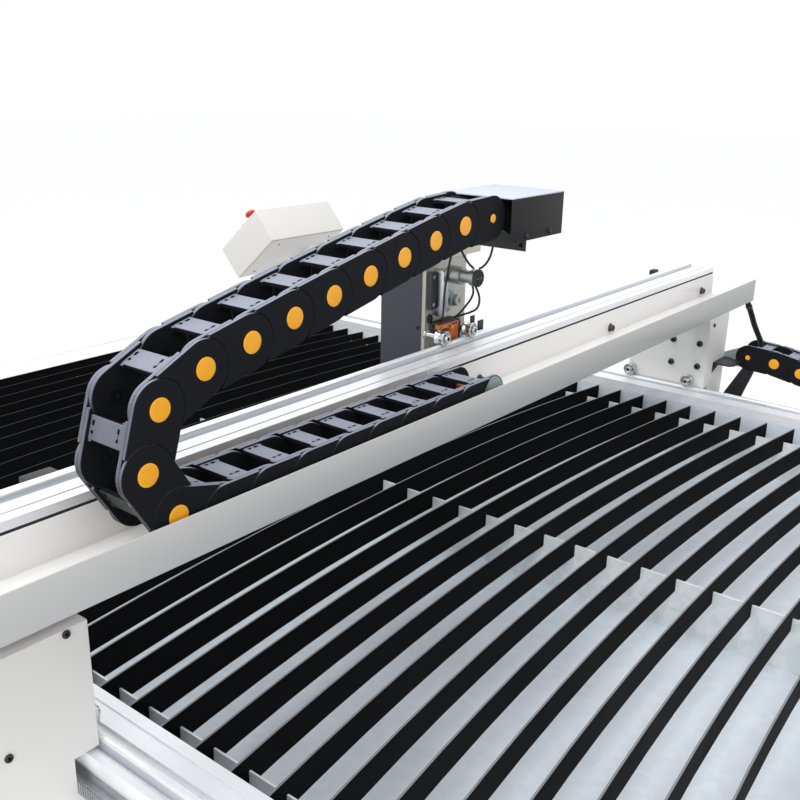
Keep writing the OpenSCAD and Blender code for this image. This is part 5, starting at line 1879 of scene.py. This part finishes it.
@dataclass
class Studio:
    """Camera, lamps, floor and world."""

    origin: Vector
    stand: tuple[float, float, float] = (875, -1472, 1560.5)
    right: tuple[float, float, float] = (0.78117, 0.62408, 0.01737)
    down: tuple[float, float, float] = (0.21223, -0.23927, -0.94747)
    lens: float = 43.41
    sky: tuple[float, float, float, float] = (0.985, 0.99, 1.0, 1.0)
    sky_strength: float = 0.7
    floor_grey: float = 0.92
    floor_glow: float = 1.1
    glow_share: float = 0.75

    def build(self) -> None:
        """Sets the stage."""
        self.camera()
        self.world()
        self.floor()
        self.lamp("overhead", (-0.2, -0.4, 4.2), (0, 0, 0), (6.0, 5.0), 130)
        self.lamp("side_fill", (1.2, -6.5, 2.6), (0, 0, 0.9), (4.0, 4.0), 150)
        self.lamp("end_fill", (1.2, -2.2, 3.2), (-0.05, 0.9, 0.9), (0.8, 0.8), 1.8, 40)

    def camera(self) -> None:
        """A lens at the stand, looking over the beam along the gantry."""
        data = bpy.data.cameras.new("view")
        data.lens = self.lens
        data.sensor_width = 36
        data.clip_start, data.clip_end = 0.01, 200
        camera = placed("view", data)
        x, y = Vector(self.right).normalized(), -Vector(self.down).normalized()
        z = x.cross(y).normalized()
        place = self.origin + Vector(self.stand) * MM
        camera.matrix_world = turned_to(place, x, z.cross(x))
        bpy.context.scene.camera = camera

    def shown_white(self, tree: Tree) -> Socket:
        """A factor that is 1 for rays that see the backdrop and 0 for its light."""
        path = tree.nodes.new("ShaderNodeLightPath")
        total = path.outputs["Is Camera Ray"]
        for label in ("Is Glossy Ray", "Is Transmission Ray"):
            more = tree.nodes.new("ShaderNodeMath")
            more.operation = "MAXIMUM"
            tree.links.new(total, more.inputs[0])
            tree.links.new(path.outputs[label], more.inputs[1])
            total = more.outputs[0]
        return total

    def mixed(self, tree: Tree, lit: bpy.types.Node, seen: bpy.types.Node,
              out: bpy.types.Node, share: float = 1.0) -> None:
        """Puts out one shader as a light and lets another be seen.

        Args:
            tree: the nodes of the world or the material.
            lit: the shader that lights.
            seen: the shader that rays from the eye find.
            out: the output node.
            share: how much of the second they find.
        """
        mix = tree.nodes.new("ShaderNodeMixShader")
        part = tree.nodes.new("ShaderNodeMath")
        part.operation = "MULTIPLY"
        part.inputs[1].default_value = share
        for source, target in ((self.shown_white(tree), part.inputs[0]),
                               (part.outputs[0], mix.inputs[0]),
                               (lit.outputs[0], mix.inputs[1]), (seen.outputs[0], mix.inputs[2]),
                               (mix.outputs[0], out.inputs["Surface"])):
            tree.links.new(source, target)

    def world(self) -> None:
        """White to the eye, softer as a light."""
        world = bpy.data.worlds.new("studio")
        world.use_nodes = True
        bpy.context.scene.world = world
        nodes = world.node_tree.nodes
        put(nodes["Background"], {"Color": self.sky, "Strength": self.sky_strength})
        seen = nodes.new("ShaderNodeBackground")
        put(seen, {"Color": (1, 1, 1, 1)})
        self.mixed(world.node_tree, nodes["Background"], seen, nodes["World Output"])

    def floor(self) -> None:
        """A wide pale floor that keeps a soft shadow."""
        part = bmesh.new()
        bmesh.ops.create_grid(part, x_segments=1, y_segments=1, size=30)
        mesh = bpy.data.meshes.new("floor")
        part.to_mesh(mesh)
        part.free()
        mat = bpy.data.materials.new("pale_floor")
        mat.use_nodes = True
        nodes = mat.node_tree.nodes
        put(nodes["Principled BSDF"],
            {"Base Color": (*(self.floor_grey,) * 3, 1), "Roughness": 0.8})
        glow = nodes.new("ShaderNodeEmission")
        put(glow, {"Strength": self.floor_glow})
        self.mixed(mat.node_tree, nodes["Principled BSDF"], glow, nodes["Material Output"],
                   self.glow_share)
        mesh.materials.append(mat)
        placed("floor", mesh)

    def lamp(self, name: str, place: Point, aim: Point, size: Range,
             power: float, spread: float = 180) -> None:
        """A soft rectangular lamp.

        Args:
            name: its name.
            place: where it hangs, in metres.
            aim: the point it faces.
            size: its sides.
            power: in watts.
            spread: how wide its light fans out, in degrees.
        """
        data = bpy.data.lights.new(name, "AREA")
        data.spread = math.radians(spread)
        data.shape = "RECTANGLE"
        data.size, data.size_y = size
        data.energy = power
        turn = (Vector(aim) - Vector(place)).to_track_quat("-Z", "Y").to_matrix().to_4x4()
        placed(name, data).matrix_world = Matrix.Translation(Vector(place)) @ turn


# ---- all together

def layout_origin() -> Vector:
    """Where the machine's own axes start, in the frame.

    Returns:
        The point on the floor below the beam's face, midway between the rails.
    """
    beam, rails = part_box("beam_tube"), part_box("rail_profiles")
    return Vector((beam[1].x + 10 * MM, (rails[0].y + rails[1].y) / 2, 0))


def chains(shop: Shop) -> list[CableChain]:
    """Both cable chains, the beam's and the one beside the bed.

    Args:
        shop: where their pieces are fitted.

    Returns:
        The chains, not yet built.
    """
    size = LinkSize()
    beam = Matrix(((0, 0, 1, 14), (1, 0, 0, 0), (0, 1, 0, 0), (0, 0, 0, 1)))
    side = Matrix(((-1, 0, 0, 7), (0, 0, -1, 1136), (0, 1, 0, 0), (0, 0, 0, 1)))
    return [
        CableChain(shop, "beam_chain", beam, BEAM_CHAIN_START,
                   (165, 121, 73, 25.5, 13, 13, 12.5, 12, 12, 11.5, 10.5, 3), (9, 4, 8),
                   ("gantry", "chain_bend", "carriage"),
                   tuple((f"chain_links_{run}", f"chain_caps_{run}") for run in RUNS), size, 1),
        CableChain(shop, "side_chain", side, (-100, 646),
                   (165, 120, 75, 30, 0, 0, 0, 0, 0, 0, 1, 4, 8, 10.5, 3.5), (10, 4, 11),
                   ("bed", "side_bend", "gantry"),
                   tuple((f"side_chain_{run}",) for run in RUNS), size)]


def main() -> None:
    """Loads the frame, dresses it and sets the stage."""
    logging.basicConfig(level=logging.INFO, format="%(levelname)s %(message)s")
    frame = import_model()
    bpy.context.scene.view_settings.view_transform = "Standard"
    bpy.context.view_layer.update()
    shop = Shop(frame["nodes"], layout_origin())
    for part in (Bed(shop), Rails(shop), Gantry(shop), *chains(shop), Carriage(shop),
                 Lifter(shop), Console(shop)):
        part.build()
    Studio(shop.origin).build()
    log.info("%d pieces, %d triangles", shop.count, shop.triangles)


if __name__ == "__main__":
    main()
